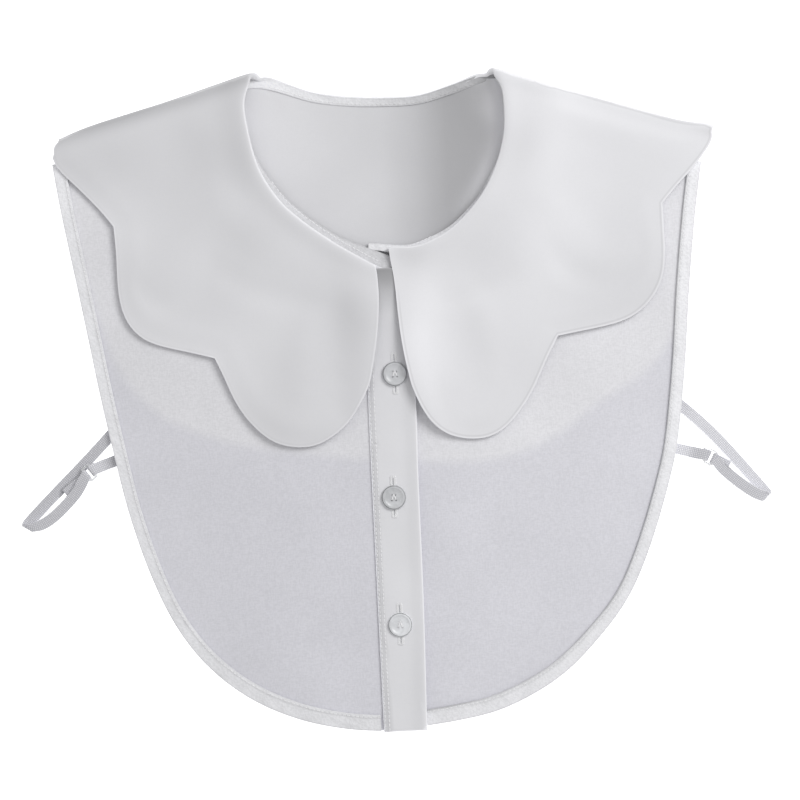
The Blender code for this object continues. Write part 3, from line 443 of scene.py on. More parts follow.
def drape(points, settings):
    """Moves all layers alike: the neck's roll stands up, the cloth under the neck's front end sinks, the
    back rises towards the right of the neck, and a calm swell runs through what is off the floor."""
    plan = points[:, :2]
    off_floor = smooth((points[:, 2] - 1.0) / 4.0)
    high = smooth((points[:, 2] - 4.0) / 3.5)
    rise = 0.35 * swell(plan, 90.0, 11) * off_floor
    for side in SIDES:
        distance = near_line(plan, ROLL_LINE[side])[0]
        rise += settings.roll_height / MM * bell(distance, 8.0) * high
    gap = np.exp(-((plan[:, 0] - 1.0) / 11.0) ** 4) * smooth((plan[:, 1] - 36.0) / 22.0)
    below = 1.0 - smooth((points[:, 2] - 8.6) / 1.4)
    to_right = near_line(plan, ROLL_LINE["right"])[0]
    back_layer = 1.0 - smooth((points[:, 2] - 5.5) / 1.0)
    inside = smooth((plan[:, 1] - 70.0) / 40.0) * (1.0 - smooth((plan[:, 1] - 130.0) / 50.0))
    rise += BACK_RISE * bell(to_right, 24.0) * inside * back_layer * smooth(points[:, 2] / 0.8)
    lowered = points.copy()
    lowered[:, 2] += rise - GAP_DEPTH * gap * below * smooth((points[:, 2] - 3.0) / 3.0) * smooth(
        (76.0 - plan[:, 1]) / 8.0)
    return lowered


def shape_collar(points, to_edge, settings):
    """The collar's own folds: its front edges stand off the placket, its scalloped edge lies down, and its
    lobes arch softly."""
    plan = points[:, :2]
    upper = smooth((points[:, 2] - 5.0) / 2.5)
    distance = np.minimum(near_line(plan, ROLL_LINE["left"])[0], near_line(plan, ROLL_LINE["right"])[0])
    clear = smooth((distance - 6.0) / 26.0)
    depth = settings.fold_depth / MM
    rise = 0.55 * depth * (swell(plan, 60.0, 5) + 1.0) * clear
    lying = 1.4 * (1.0 - smooth(to_edge / 13.0)) * smooth((distance - 20.0) / 20.0)
    for side, lift in (("left", 0.7), ("right", 1.0)):
        to_front = near_line(plan, FRONT_LINE[side])[0]
        down = smooth((76.0 - plan[:, 1]) / 30.0)
        rise += lift * bell(to_front, 17.0) * down
        lying *= smooth((to_front - 8.0) / 20.0)
    rise -= lying
    to_front = near_line(plan, FRONT_LINE["right"])[0]
    rise -= FRONT_EDGE_DROP * bell(to_front, 15.0) * smooth((plan[:, 1] - 24.0) / 30.0)
    rise -= CORNER_DROP * around(plan, ROLL["right"][0], 14.0)
    creases = (
        ([(-30.0, 70.0), (-46.0, 40.0), (-50.0, 0.0)], 9.0, 0.9),
        ([(-80.0, 120.0), (-104.0, 92.0), (-122.0, 60.0)], 11.0, 0.9),
        ([(-92.0, 160.0), (-120.0, 148.0), (-150.0, 140.0)], 9.0, 0.7),
        ([(34.0, 72.0), (52.0, 44.0), (56.0, 6.0)], 9.0, 1.0),
        ([(80.0, 118.0), (104.0, 88.0), (126.0, 58.0)], 11.0, 0.9),
        ([(88.0, 160.0), (118.0, 146.0), (150.0, 134.0)], 9.0, 0.7),
    )
    for path, width, height in creases:
        rise += height * depth * soft_ridge(plan, path, width) * clear
    shaped = points.copy()
    shaped[:, 2] += rise * upper
    corner = around(plan, ROLL["right"][0], 10.0) * (plan[:, 0] > 0.0)
    shaped[:, :2] += corner[:, None] * np.array(CORNER_PULL)
    for place, reach, way in TIP_SHIFTS:
        near = around(plan, place, reach)
        shaped[:, :2] += near[:, None] * np.array(way)
    return shaped


def cloth_tree(obj, rim_only=False):
    """A piece's faces, or its thin outer rim alone, for finding the place nearest to a point or below it."""
    mesh = obj.data
    chosen = range(len(mesh.polygons))
    if rim_only:
        normals = np.empty(len(mesh.polygons) * 3)
        mesh.polygons.foreach_get("normal", normals)
        chosen = np.flatnonzero(np.abs(normals[2::3]) < RIM_STEEPNESS)
    faces = [tuple(mesh.polygons[i].vertices) for i in chosen]
    return BVHTree.FromPolygons([vertex.co for vertex in mesh.vertices], faces)


def distance_to_rim(obj):
    """For each point of a cloth piece, the distance to its outline in millimetres."""
    tree = cloth_tree(obj, rim_only=True)
    return np.array([tree.find_nearest(vertex.co)[3] / MM for vertex in obj.data.vertices])


def on_surface(tree, x, y):
    """The top of the cloth at a place in the plan, and the way that it faces."""
    hit, normal = tree.ray_cast(Vector((x, y, 50.0)) * MM, Vector((0.0, 0.0, -1.0)))[:2]
    if hit is None:
        return None
    return hit / MM, normal if normal.z > 0 else -normal


def linear(hex_code):
    """A colour given as sRGB hex, as linear red, green, blue and alpha."""
    values = [int(hex_code[i:i + 2], 16) / 255.0 for i in (1, 3, 5)]
    return (*[v / 12.92 if v <= 0.04045 else ((v + 0.055) / 1.055) ** 2.4 for v in values], 1.0)


def add_node(tree, kind, inputs=None, out=0, **settings):
    """Adds a shader node and returns one of its outputs. Each input is a value or another node's output."""
    made = tree.nodes.new("ShaderNode" + kind)
    for name, value in settings.items():
        setattr(made, name, value)
    for socket, value in (inputs or {}).items():
        if isinstance(value, bpy.types.NodeSocket):
            tree.links.new(value, made.inputs[socket])
        else:
            made.inputs[socket].default_value = value
    return made.outputs[out]


def new_material(name, **sockets):
    """A material with its shader's even values set. Returns it with its tree and shader."""
    material = bpy.data.materials.new(name)
    material.use_nodes = True
    tree = material.node_tree
    shader = tree.nodes["Principled BSDF"]
    for socket, value in sockets.items():
        shader.inputs[socket.replace("_", " ")].default_value = value
    return material, tree, shader


def finish_shader(tree, shader, colour, shares=(), relief=None):
    """Links a material's colour, multiplied by each share in turn, and its relief, which is a height, a
    strength and a depth in millimetres."""
    for share in shares:
        colour = add_node(tree, "VectorMath", {0: colour, "Scale": share}, operation="SCALE")
    tree.links.new(colour, shader.inputs["Base Color"])
    if relief:
        height, strength, depth = relief
        raised = add_node(tree, "Bump", {"Height": height, "Strength": strength, "Distance": depth * MM})
        tree.links.new(raised, shader.inputs["Normal"])


def span(value, low, high, at_low, at_high):
    """The inputs that map a value from its range low to high onto another range."""
    return {"Value": value, "From Min": low, "From Max": high, "To Min": at_low, "To Max": at_high}


def plain_weave(tree, pitch, seed):
    """Uneven threads along X and along Y, a pitch in millimetres apart: a height from 0 to 1."""
    place = add_node(tree, "TexCoord", out="Object")
    threads = []
    for stretch in ((THREAD_STRETCH, 1.0, 1.0), (1.0, THREAD_STRETCH, 1.0)):
        drawn = add_node(tree, "Mapping", {"Vector": place, "Scale": stretch})
        slub = {"Vector": drawn, "Scale": 1.0 / (pitch * MM), "Detail": 2.0, "Roughness": 0.6,
                "W": seed + len(threads)}
        threads.append(add_node(tree, "TexNoise", slub, out="Fac", noise_dimensions="4D"))
    crossed = add_node(tree, "Math", {0: threads[0], 1: threads[1]}, operation="ADD")
    return add_node(tree, "Math", {0: crossed, 1: 0.5}, operation="MULTIPLY")


def woven_cloth(name, colour, pitch, speckle, bump, size, seed, edge_light=0.05, facing_light=0.0,
                edge_shade_line=0.0, pucker_shade=0.0, sheen=0.12):
    """A woven cotton cloth. The pitch is how far apart its threads are drawn and the size is that of its
    soft cloudy patches, both in millimetres."""
    material, tree, shader = new_material(
        name, Roughness=0.82, Sheen_Weight=sheen, Sheen_Roughness=0.5, Specular_IOR_Level=0.3)
    place = add_node(tree, "TexCoord", out="Object")
    weave = plain_weave(tree, pitch, seed)
    patches = {"Vector": place, "Scale": 1.0 / (size * MM), "Detail": 2.5, "Roughness": 0.5, "W": seed}
    cloud = add_node(tree, "TexNoise", patches, out="Fac", noise_dimensions="4D")
    to_edge = add_node(tree, "Attribute", out="Fac", attribute_name="to_edge")
    shares = [
        add_node(tree, "MapRange", span(cloud, 0.3, 0.7, 1.0 - CLOUD_CONTRAST, 1.0 + CLOUD_CONTRAST)),
        add_node(tree, "MapRange", span(weave, 0.35, 0.65, 1.0 - speckle, 1.0 + speckle), **SMOOTHLY),
        # Painted highlight along the rim; where the amount is below 0, painted shade instead
        add_node(tree, "MapRange", span(to_edge, 0.2, 1.0, 1.0 + edge_light, 1.0), **SMOOTHLY),
        add_node(tree, "Attribute", out="Fac", attribute_name="tone_and_shade"),
    ]
    if facing_light:
        past_arc = add_node(tree, "Attribute", out="Fac", attribute_name="over_facing")
        over = add_node(tree, "MapRange", span(past_arc, -4.0, 4.0, 0.0, 1.0), **SMOOTHLY)
        lit = (1.0 + facing_light, 1.0 + facing_light, 0.97 + facing_light, 1.0)
        light = add_node(tree, "Mix", {0: over, 6: (1.0, 1.0, 1.0, 1.0), 7: lit}, out=2, data_type="RGBA")
        colour = add_node(tree, "VectorMath", {0: colour, 1: light}, operation="MULTIPLY")
    # Painted shade of small puckers: lighter and darker diagonal bands across the colour
    if pucker_shade:
        bands = {"Vector": place, "Scale": 2 * math.pi / (20.0 * 1.5 * MM), "Distortion": 9.0,
                 "Detail": 3.0, "Detail Scale": 2.5}
        pucker_shade_bands = add_node(tree, "TexWave", bands, out="Fac", wave_type="BANDS", bands_direction="DIAGONAL")
        shares.append(add_node(tree, "MapRange", span(pucker_shade_bands, 0.0, 1.0, 1.0 - pucker_shade, 1.0 + pucker_shade),
                               **SMOOTHLY))
    # Painted shade: a dark line 0.7 to 2.2 mm inside the rim, weighted per point
    if edge_shade_line:
        inner = add_node(tree, "MapRange", span(to_edge, 0.7, 1.2, 0.0, 1.0), **SMOOTHLY)
        outer = add_node(tree, "MapRange", span(to_edge, 1.5, 2.2, edge_shade_line, 0.0), **SMOOTHLY)
        line = add_node(tree, "Math", {0: inner, 1: outer}, operation="MULTIPLY")
        shows = add_node(tree, "Attribute", out="Fac", attribute_name="edge_shade_shows")
        seen = add_node(tree, "Math", {0: line, 1: shows}, operation="MULTIPLY")
        shares.append(add_node(tree, "Math", {0: 1.0, 1: seen}, operation="SUBTRACT"))
    finish_shader(tree, shader, colour, shares, (weave, bump, 0.1))
    return material


def dress(obj, material, slot, *nodes):
    """Finishes a piece: its material, the body it moves with, and what it stands for."""
    obj.data.materials.clear()
    obj.data.materials.append(material)
    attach(obj, "root")
    if nodes:
        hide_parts(*nodes)


def top_side(obj):
    """1 for each point on a cloth piece's upper side, 0 on its rim and underside."""
    normals = np.empty(len(obj.data.vertices) * 3)
    obj.data.vertices.foreach_get("normal", normals)
    return smooth(normals[2::3] / 0.4)


def finish_cloth(obj, points, tone_and_shade=None):
    """Writes a cloth piece's points and the numbers that its material reads."""
    write_points(obj, np.hstack([settled(points[:, :2]), points[:, 2:]]))
    set_attribute(obj, "to_edge", distance_to_rim(obj))
    # The tone multiplies the colour: random tone of the cloth, and painted light and shade
    set_attribute(obj, "tone_and_shade", np.ones(len(points)) if tone_and_shade is None else tone_and_shade)


class COLLAR_OT_collar(bpy.types.Operator):
    """Makes the scalloped collar"""
    bl_idname = "false_collar.collar"
    bl_label = "Collar"

    def execute(self, context):
        settings = context.scene.false_collar_cloth
        obj = cloth_copy("collar_sewn", "collar", 2)
        points = shape_collar(drape(read_points(obj), settings), distance_to_rim(obj), settings)
        plan = points[:, :2]
        # Painted light and shade: lighter towards the right, darker along each shoulder fold, in a band
        # outside the left roll and in the listed places, over a calm random swell of tone
        tone_and_shade = 1.0 + 0.02 * swell(plan, 70.0, 21) + 0.03 * np.clip(plan[:, 0] / 60.0, -1.0, 1.0)
        for side, shade in (("left", 0.30), ("right", 0.16)):
            shoulder = np.array([ROLL[side][-1], SHOULDER_TIP[side]])
            tone_and_shade -= shade * bell(near_line(plan, shoulder)[0], 5.5)
        to_roll, place = near_line(plan, ROLL_LINE["left"])[:2]
        tone_and_shade -= 0.05 * bell(to_roll - 11.0, 7.0) * smooth((place - 60.0) / 30.0)
        for place, reach, change in COLLAR_PAINTED_LIGHT:
            tone_and_shade += change * around(plan, place, reach)
        finish_cloth(obj, points, tone_and_shade)
        # The painted shade line inside the rim shows fully on the right half, at a quarter on the left, and
        # fades out near the roll
        off_roll = np.minimum(to_roll, near_line(plan, ROLL_LINE["right"])[0])
        shows = (0.25 + 0.75 * smooth(plan[:, 0] / 8.0)) * smooth((off_roll - 14.0) / 16.0)
        set_attribute(obj, "edge_shade_shows", shows)
        # Polyester-cotton shirting, calendered smooth: an even matt white with a faint soft sheen. Its
        # threads are 0.25 mm apart, too fine to show, so they are drawn 0.9 mm apart and very faint
        # Its rim gets a painted highlight, with a painted dark line just inside it
        dress(obj, woven_cloth("poly-cotton shirting", settings.collar_colour, 0.9, 0.006, 0.25, 45.0, 1.0,
                               edge_light=0.12, edge_shade_line=0.1), "collar_cloth", "collar")
        return {"FINISHED"}


class COLLAR_OT_bib(bpy.types.Operator):
    """Makes both fronts and the back"""
    bl_idname = "false_collar.bib"
    bl_label = "Fronts and back"

    def execute(self, context):
        settings = context.scene.false_collar_cloth
        # Cotton voile, loosely woven and a little sheer: cool white with fine grey specks. Its threads are
        # 0.4 mm apart and are drawn 0.7 mm apart to show. The facing behind it makes it lighter
        voile = woven_cloth("cotton voile", settings.bib_colour, 0.7, 0.05, 0.3, 30.0, 2.0,
                            facing_light=0.1, sheen=0.05)
        # The back is the same voile laid double, with the specks of the two layers evened out
        doubled = woven_cloth("cotton voile laid double", settings.collar_colour, 0.7, 0.008, 0.15, 45.0,
                              4.0, sheen=0.05)
        for node, name in (("front_left", "bib_left"), ("front_right", "bib_right"),
                           ("back_panel", "back_sewn")):
            obj = cloth_copy(name, node, 3 if node == "back_panel" else 2)
            points = drape(read_points(obj), settings)
            plan = points[:, :2]
            # A calm random swell of tone, and painted light: lighter towards the right
            tone_and_shade = 1.0 + 0.012 * swell(plan, 60.0, 31) + 0.02 * np.clip(plan[:, 0] / 60.0, -1.0, 1.0)
            if node == "back_panel":
                # Painted shade: darker across the neck hole towards the right
                tone_and_shade *= 0.91 * from_table(plan[:, 0], BACK_SHADE)
                # Its neck edge runs up under the strip at both shoulders
                ends = smooth((plan[:, 0] - 48.0) / 10.0) + 0.7 * smooth((-48.0 - plan[:, 0]) / 10.0)
                points[:, 1] += BACK_EDGE_RISE * ends * smooth((plan[:, 1] - 148.0) / 14.0)
                # Painted light: lighter close to the right roll, and further from it towards the shoulder
                to_roll = near_line(plan, ROLL_LINE["right"])[0]
                reach = 6.0 + 3.0 * smooth((plan[:, 1] - 140.0) / 20.0)
                tone_and_shade *= 1.0 + bell(to_roll, reach) * smooth((plan[:, 1] - 92.0) / 34.0)
            else:
                side = node.replace("front_", "")
                arc = curve_through(FACING_ARC[side], 4.0)
                past_arc = near_line(plan, arc)[2] * (-1.0 if side == "left" else 1.0)
                set_attribute(obj, "over_facing", past_arc)
            finish_cloth(obj, points, tone_and_shade)
            dress(obj, doubled if node == "back_panel" else voile, "bib_cloth", node)
        return {"FINISHED"}


class COLLAR_OT_facings(bpy.types.Operator):
    """Makes the neck facings behind the fronts"""
    bl_idname = "false_collar.facings"
    bl_label = "Facings"

    def execute(self, context):
        settings = context.scene.false_collar_cloth
        # The facing is cut from the collar's shirting, so it has the same smooth matt face
        shirting = woven_cloth("facing shirting", settings.collar_colour, 0.9, 0.01, 0.25, 45.0, 5.0)
        for side in SIDES:
            obj = cloth_copy("facing_sewn_" + side, "facing_" + side, 2)
            finish_cloth(obj, drape(read_points(obj), settings))
            dress(obj, shirting, "facing_cloth", "facing_" + side)
        return {"FINISHED"}


class COLLAR_OT_placket(bpy.types.Operator):
    """Makes the placket band"""
    bl_idname = "false_collar.placket"
    bl_label = "Placket"

    def execute(self, context):
        settings = context.scene.false_collar_cloth
        obj = cloth_copy("placket_sewn", "placket", 3)
        points = drape(read_points(obj), settings)
        y = points[:, 1]
        from_left = points[:, 0] - from_table(y, PLACKET_LEFT)
        from_right = from_table(y, PLACKET_RIGHT) - points[:, 0]
        ridge = smooth(from_left / 0.8) * (1.0 - smooth((from_left - 2.6) / 1.0))
        pucker = np.sin(2 * math.pi * y / 5.3 + 1.5 * swell(points[:, :2], 40.0, 3))
        fold = bell(from_right, 1.6)
        top = top_side(obj)
        points[:, 2] -= bell(from_left, 1.6) * (0.5 + 0.8 * top)
        points[:, 2] += ridge * (0.25 + settings.pucker_depth / MM * pucker) + 0.4 * fold
        points[:, 2] += 0.2 * (1.0 + swell(points[:, :2] * (1.0, 0.5), 22.0, 8)) * smooth(from_left / 6.0)
        points[:, 1] += PLACKET_STRETCH * smooth((y - 54.0) / 13.0)
        # Painted shade in a soft band inside the folded right edge, a painted highlight on that edge, darker
        # lines along the rows of stitches, and painted shade at the top in the gap
        tone_and_shade = 1.0 - 0.05 * bell(from_right - 4.5, 3.0)
        tone_and_shade += 0.07 * bell(from_right, 1.8)
        for inset in STITCH_INSETS:
            tone_and_shade -= 0.12 * bell(from_left - inset, 0.7)
        tone_and_shade *= from_table(points[:, 1], GAP_SHADE)
        finish_cloth(obj, points, tone_and_shade)
        # The collar's shirting, folded double, with a painted highlight along its pressed edges
        dress(obj, woven_cloth("placket shirting", settings.collar_colour, 0.9, 0.006, 0.25, 30.0, 7.0,
                               edge_light=0.16), "collar_cloth", "placket")
        return {"FINISHED"}


class COLLAR_OT_strips(bpy.types.Operator):
    """Makes the hem strips and the strips over the neck seam"""
    bl_idname = "false_collar.strips"
    bl_label = "Hems and neck strips"

    def execute(self, context):
        settings = context.scene.false_collar_cloth
        # Cotton bias tape, pressed flat and edge-stitched: a shade brighter than the bib, with small puckers.
        # Its threads are drawn 0.8 mm apart. The puckers' shade is painted in diagonal bands, and its edges
        # get painted shade
        tape = woven_cloth("cotton bias tape", (0.90, 0.90, 0.925), 0.8, 0.04, 0.5, 12.0, 9.0,
                           edge_light=-0.1, pucker_shade=0.035)
        for number, node in enumerate(("hem_left", "hem_right", "binding_left", "binding_right",
                                       "binding_back")):
            obj = cloth_copy(node + "_sewn", node, 3)
            points = drape(read_points(obj), settings)
            plan = points[:, :2]
            slant = 2 * math.pi * (plan[:, 0] * 0.7 + plan[:, 1] * 0.9) / 6.5
            waves = np.sin(slant + 2.2 * swell(plan, 24.0, 40 + number))
            points[:, 2] += settings.pucker_depth / MM * waves * (0.4 + 0.3 * swell(plan, 35.0, 50 + number))
            tone_and_shade = TAPE_PAINTED_LIGHT[node] * (1.0 + 0.02 * swell(plan, 16.0, 60 + number))
            if node in HEM_LINE:
                outer = curve_through(BIB_EDGE[node.replace("hem_", "")], 4.0)
                inside = from_table(plan[:, 1], HEM_WIDTHS) - near_line(plan, outer)[0]
                # Painted shadow or highlight at the inner edge, a darker line 1.5 mm in from it, and darker
                # towards the bottom
                tone_and_shade -= HEM_LINE[node] * bell(inside, 0.5)
                tone_and_shade -= 0.14 * bell(inside - 1.5, 0.7)
                tone_and_shade -= 0.05 * smooth((-20.0 - plan[:, 1]) / 80.0)
            if node == "hem_right":
                points[:, 0] -= HEM_END_SHIFT * (1.0 - smooth((points[:, 0] - 12.0) / 12.0))
            if node == "binding_back":
                # Painted shade along the back strip, darker towards the right
                tone_and_shade *= from_table(plan[:, 0], STRIP_SHADE)
                self.reach_the_peaks(points)
            elif node.startswith("binding"):
                self.tuck_under_roll(points, node.replace("binding_", ""))
            finish_cloth(obj, points, tone_and_shade)
            dress(obj, tape, "binding_cloth", node)
        return {"FINISHED"}

    @staticmethod
    def reach_the_peaks(points):
        """The back strip's ends run in under the roll at both shoulders, and it lies close on the back."""
        x = points[:, 0].copy()
        ends = smooth((-52.0 - x) / 14.0), smooth((x - 45.0) / 16.0)
        for end, pull in zip(ends, STRIP_END_PULLS):
            points[:, :2] += end[:, None] * np.array(pull)
        points[:, 2] -= STRIP_DROP

    @staticmethod
    def tuck_under_roll(points, side):
        """A front strip's upper end goes in under the roll. The left one is broader at its front end."""
        sign = -1.0 if side == "left" else 1.0
        line = ROLL_LINE[side]
        length = length_along(line)[-1]
        place, aside = near_line(points[:, :2], line)[1:]
        inward = left_of(line, place) * sign
        tucked = STRIP_TUCK * smooth((place - length + 62.0) / 36.0)
        if side == "left":
            points[:, :2] += (1.0 - smooth(place / 16.0))[:, None] * np.array(LEFT_STRIP_PULL)
            tucked -= 3.0 * (1.0 - smooth(place / 32.0)) * smooth((aside * sign - 1.5) / 3.0)
        points[:, :2] -= inward * tucked[:, None]


def capsule(length, width):
    """One stitch: a short thread with round ends, along X, sunk at both ends. Returns points and faces."""
    bpy.ops.object.select_all(action="DESELECT")
    bpy.ops.mesh.primitive_cylinder_add(
        vertices=6, radius=width / 2, depth=length * 0.62, end_fill_type="NGON",
        rotation=(0.0, math.pi / 2, 0.0))
    obj = bpy.context.object
    bpy.ops.object.transform_apply(rotation=True)
    bpy.ops.object.mode_set(mode="EDIT")
    shape = bmesh.from_edit_mesh(obj.data)
    for face in shape.faces:
        face.select_set(len(face.verts) == 6)
    bmesh.update_edit_mesh(obj.data)
    bpy.ops.mesh.extrude_faces_move(TRANSFORM_OT_shrink_fatten={"value": length * 0.19})
    bpy.ops.mesh.inset(thickness=width * 0.3, depth=0.0)
    bpy.ops.mesh.merge(type="COLLAPSE")
    bpy.ops.object.mode_set(mode="OBJECT")
    points = read_points(obj)
    points[:, 2] -= 0.35 * width / MM * (2.0 * np.abs(points[:, 0]) / (length / MM)) ** 2
    faces = [tuple(polygon.vertices) for polygon in obj.data.polygons]
    mesh = obj.data
    bpy.data.objects.remove(obj)
    bpy.data.meshes.remove(mesh)
    return points, faces


def piece_of(name, parts):
    """One object from several lists of points in millimetres and their faces."""
    points = []
    faces = []
    for part_points, part_faces in parts:
        start = len(points)
        points += [tuple(point) for point in np.asarray(part_points) * MM]
        faces += [tuple(start + i for i in face) for face in part_faces]
    mesh = bpy.data.meshes.new(name)
    mesh.from_pydata(points, [], faces)
    mesh.update()
    obj = add_object(name, mesh)
    select_only(obj)
    bpy.ops.object.shade_smooth()
    set_attribute(obj, "tone_and_shade", np.ones(len(points)))
    return obj


def set_thread(stitch, middle, way, up):
    """A stitch turned to run along a way on the cloth and moved to its middle."""
    along = way - up * way.dot(up)
    along.normalize()
    side = up.cross(along)
    turned = np.array([along, side, up])
    return stitch[0] @ turned + np.array(middle), stitch[1]


def row_of_stitches(line, tree, stitch, pitch, seed):
    """Stitches along a line in the plan, lying on the cloth, each a little uneven."""
    chance = np.random.default_rng(seed)
    path = curve_through(line, pitch)
    parts = []
    for a, b in zip(path, path[1:]):
        middle = (a + b) / 2
        found = on_surface(tree, *middle)
        if found is None:
            continue
        place, up = found
        way = Vector((b[0] - a[0], b[1] - a[1], 0.0))
        turn = chance.normal(0.0, 0.05)
        way = Vector((way.x - turn * way.y, way.y + turn * way.x, 0.0)).normalized()
        parts.append(set_thread(stitch, place + up * (STITCH_RISE + chance.uniform(-0.03, 0.03)), way, up))
    return parts


def sewing_thread():
    """Spun polyester thread: two plies twisted, a bright soft white, matt."""
    material, tree, shader = new_material("spun polyester thread", Roughness=0.6, Sheen_Weight=0.2,
                                          Specular_IOR_Level=0.4)
    place = add_node(tree, "TexCoord", out="Object")
    # The plies are 0.2 mm thick and are drawn 0.5 mm apart to show
    plies = add_node(tree, "TexWave", {"Vector": place, "Scale": 2 * math.pi / (20.0 * 0.5 * MM)}, out="Fac",
                     wave_type="BANDS", bands_direction="DIAGONAL")
    colour = add_node(tree, "Mix", {0: plies, 6: linear("#ececef"), 7: linear("#ffffff")}, out=2,
                      data_type="RGBA")
    tone_and_shade = add_node(tree, "Attribute", out="Fac", attribute_name="tone_and_shade")
    finish_shader(tree, shader, colour, [tone_and_shade], (plies, 0.4, 0.1))
    return material


class COLLAR_OT_stitches(bpy.types.Operator):
    """Sews the visible rows of stitches"""
    bl_idname = "false_collar.stitches"
    bl_label = "Stitches"

    def execute(self, context):
        trim = context.scene.false_collar_trim
        pitch = trim.stitch_pitch / MM
        thread = sewing_thread()
        stitch = capsule(0.74 * trim.stitch_pitch, trim.thread_width)
        objects = bpy.data.objects
        for side, sign in (("left", -1.0), ("right", 1.0)):
            outer = curve_through(BIB_EDGE[side], 4.0)
            width = from_table(outer[:, 1], HEM_WIDTHS)
            tree = cloth_tree(objects["hem_" + side + "_sewn"])
            line = settled(moved_aside(outer, sign * (width - 1.3)))
            rows = row_of_stitches(line, tree, stitch, pitch, 70)
            obj = piece_of("hem_stitches_" + side, rows)
            dress(obj, thread, "binding_cloth")
            tree = cloth_tree(objects["binding_" + side + "_sewn"])
            line = settled(moved_aside(ROLL_LINE[side], sign * (2.4 if side == "left" else 1.7)))
            obj = piece_of("neck_stitches_" + side, row_of_stitches(line, tree, stitch, pitch, 71))
            if len(obj.data.polygons) == 0:
                raise RuntimeError("no stitch of the neck strip found its cloth")
            dress(obj, thread, "binding_cloth")
        tree = cloth_tree(objects["placket_sewn"])
        rows = []
        for inset, seed in zip(STITCH_INSETS, (72, 73)):
            line = [(x + inset, y) for y, x in PLACKET_LEFT]
            rows += row_of_stitches(line, tree, stitch, pitch, seed)
        dress(piece_of("placket_stitches", rows), thread, "collar_cloth")
        tree = cloth_tree(objects["binding_back_sewn"])
        line = settled(moved_aside(curve_through(BACK_STRIP, 4.0), -1.2))
        obj = piece_of("back_neck_stitches", row_of_stitches(line, tree, stitch, pitch, 74))
        # The stitches on the back strip get the same painted shade as the strip
        set_attribute(obj, "tone_and_shade", from_table(read_points(obj)[:, 0], STRIP_SHADE))
        dress(obj, thread, "binding_cloth")
        return {"FINISHED"}


class COLLAR_OT_buttonholes(bpy.types.Operator):
    """Sews the three upright buttonholes"""
    bl_idname = "false_collar.buttonholes"
    bl_label = "Buttonholes"

    def execute(self, context):
        trim = context.scene.false_collar_trim
        thread = sewing_thread()
        # The cut between the two rows: raw cloth edges, with their deep shade painted in as grey
        slit_shade_material, tree, shader = new_material("raw cut cloth in painted shade", Roughness=0.95)
        place = add_node(tree, "TexCoord", out="Object")
        fray = add_node(tree, "TexNoise", {"Vector": place, "Scale": 1500.0, "Detail": 2.0}, out="Fac")
        colour = add_node(tree, "Mix", {0: fray, 6: linear("#a2a3a8"), 7: linear("#bcbdc1")}, out=2,
                          data_type="RGBA")
        finish_shader(tree, shader, colour)
        bar = capsule(1.5 * MM, 0.42 * MM)
        cloth = cloth_tree(bpy.data.objects["placket_sewn"])
        half = trim.buttonhole_length / MM / 2
        for number, (x, y) in enumerate(BUTTONS, start=1):
            chance = np.random.default_rng(80 + number)
            parts = []
            cut = []
            middle = y + 0.4
            for place in np.arange(middle - half, middle + half, 0.42):
                for offset in (-1.0, 1.0):
                    found = on_surface(cloth, x + offset + chance.normal(0.0, 0.05), place)
                    if found is None:
                        raise RuntimeError("a buttonhole misses the placket")
                    spot, up = found
                    way = Vector((1.0, chance.normal(0.0, 0.06), 0.0))
                    parts.append(set_thread(bar, spot + up * 0.12, way, up))
            for place in (middle - half, middle + half):
                for step in (-0.9, -0.3, 0.3, 0.9):
                    spot, up = on_surface(cloth, x + step, place)
                    parts.append(set_thread(bar, spot + up * 0.2, Vector((0.0, 1.0, 0.0)), up))
            for place in np.arange(middle - half + 0.8, middle + half - 0.8, 1.1):
                spot, up = on_surface(cloth, x, place)
                cut.append(set_thread(bar, spot + up * 0.02, Vector((0.0, 1.0, 0.0)), up))
            dress(piece_of(f"buttonhole_{number}", parts), thread, "collar_cloth")
            dress(piece_of(f"buttonhole_cut_{number}", cut), slit_shade_material, "collar_cloth")
        return {"FINISHED"}


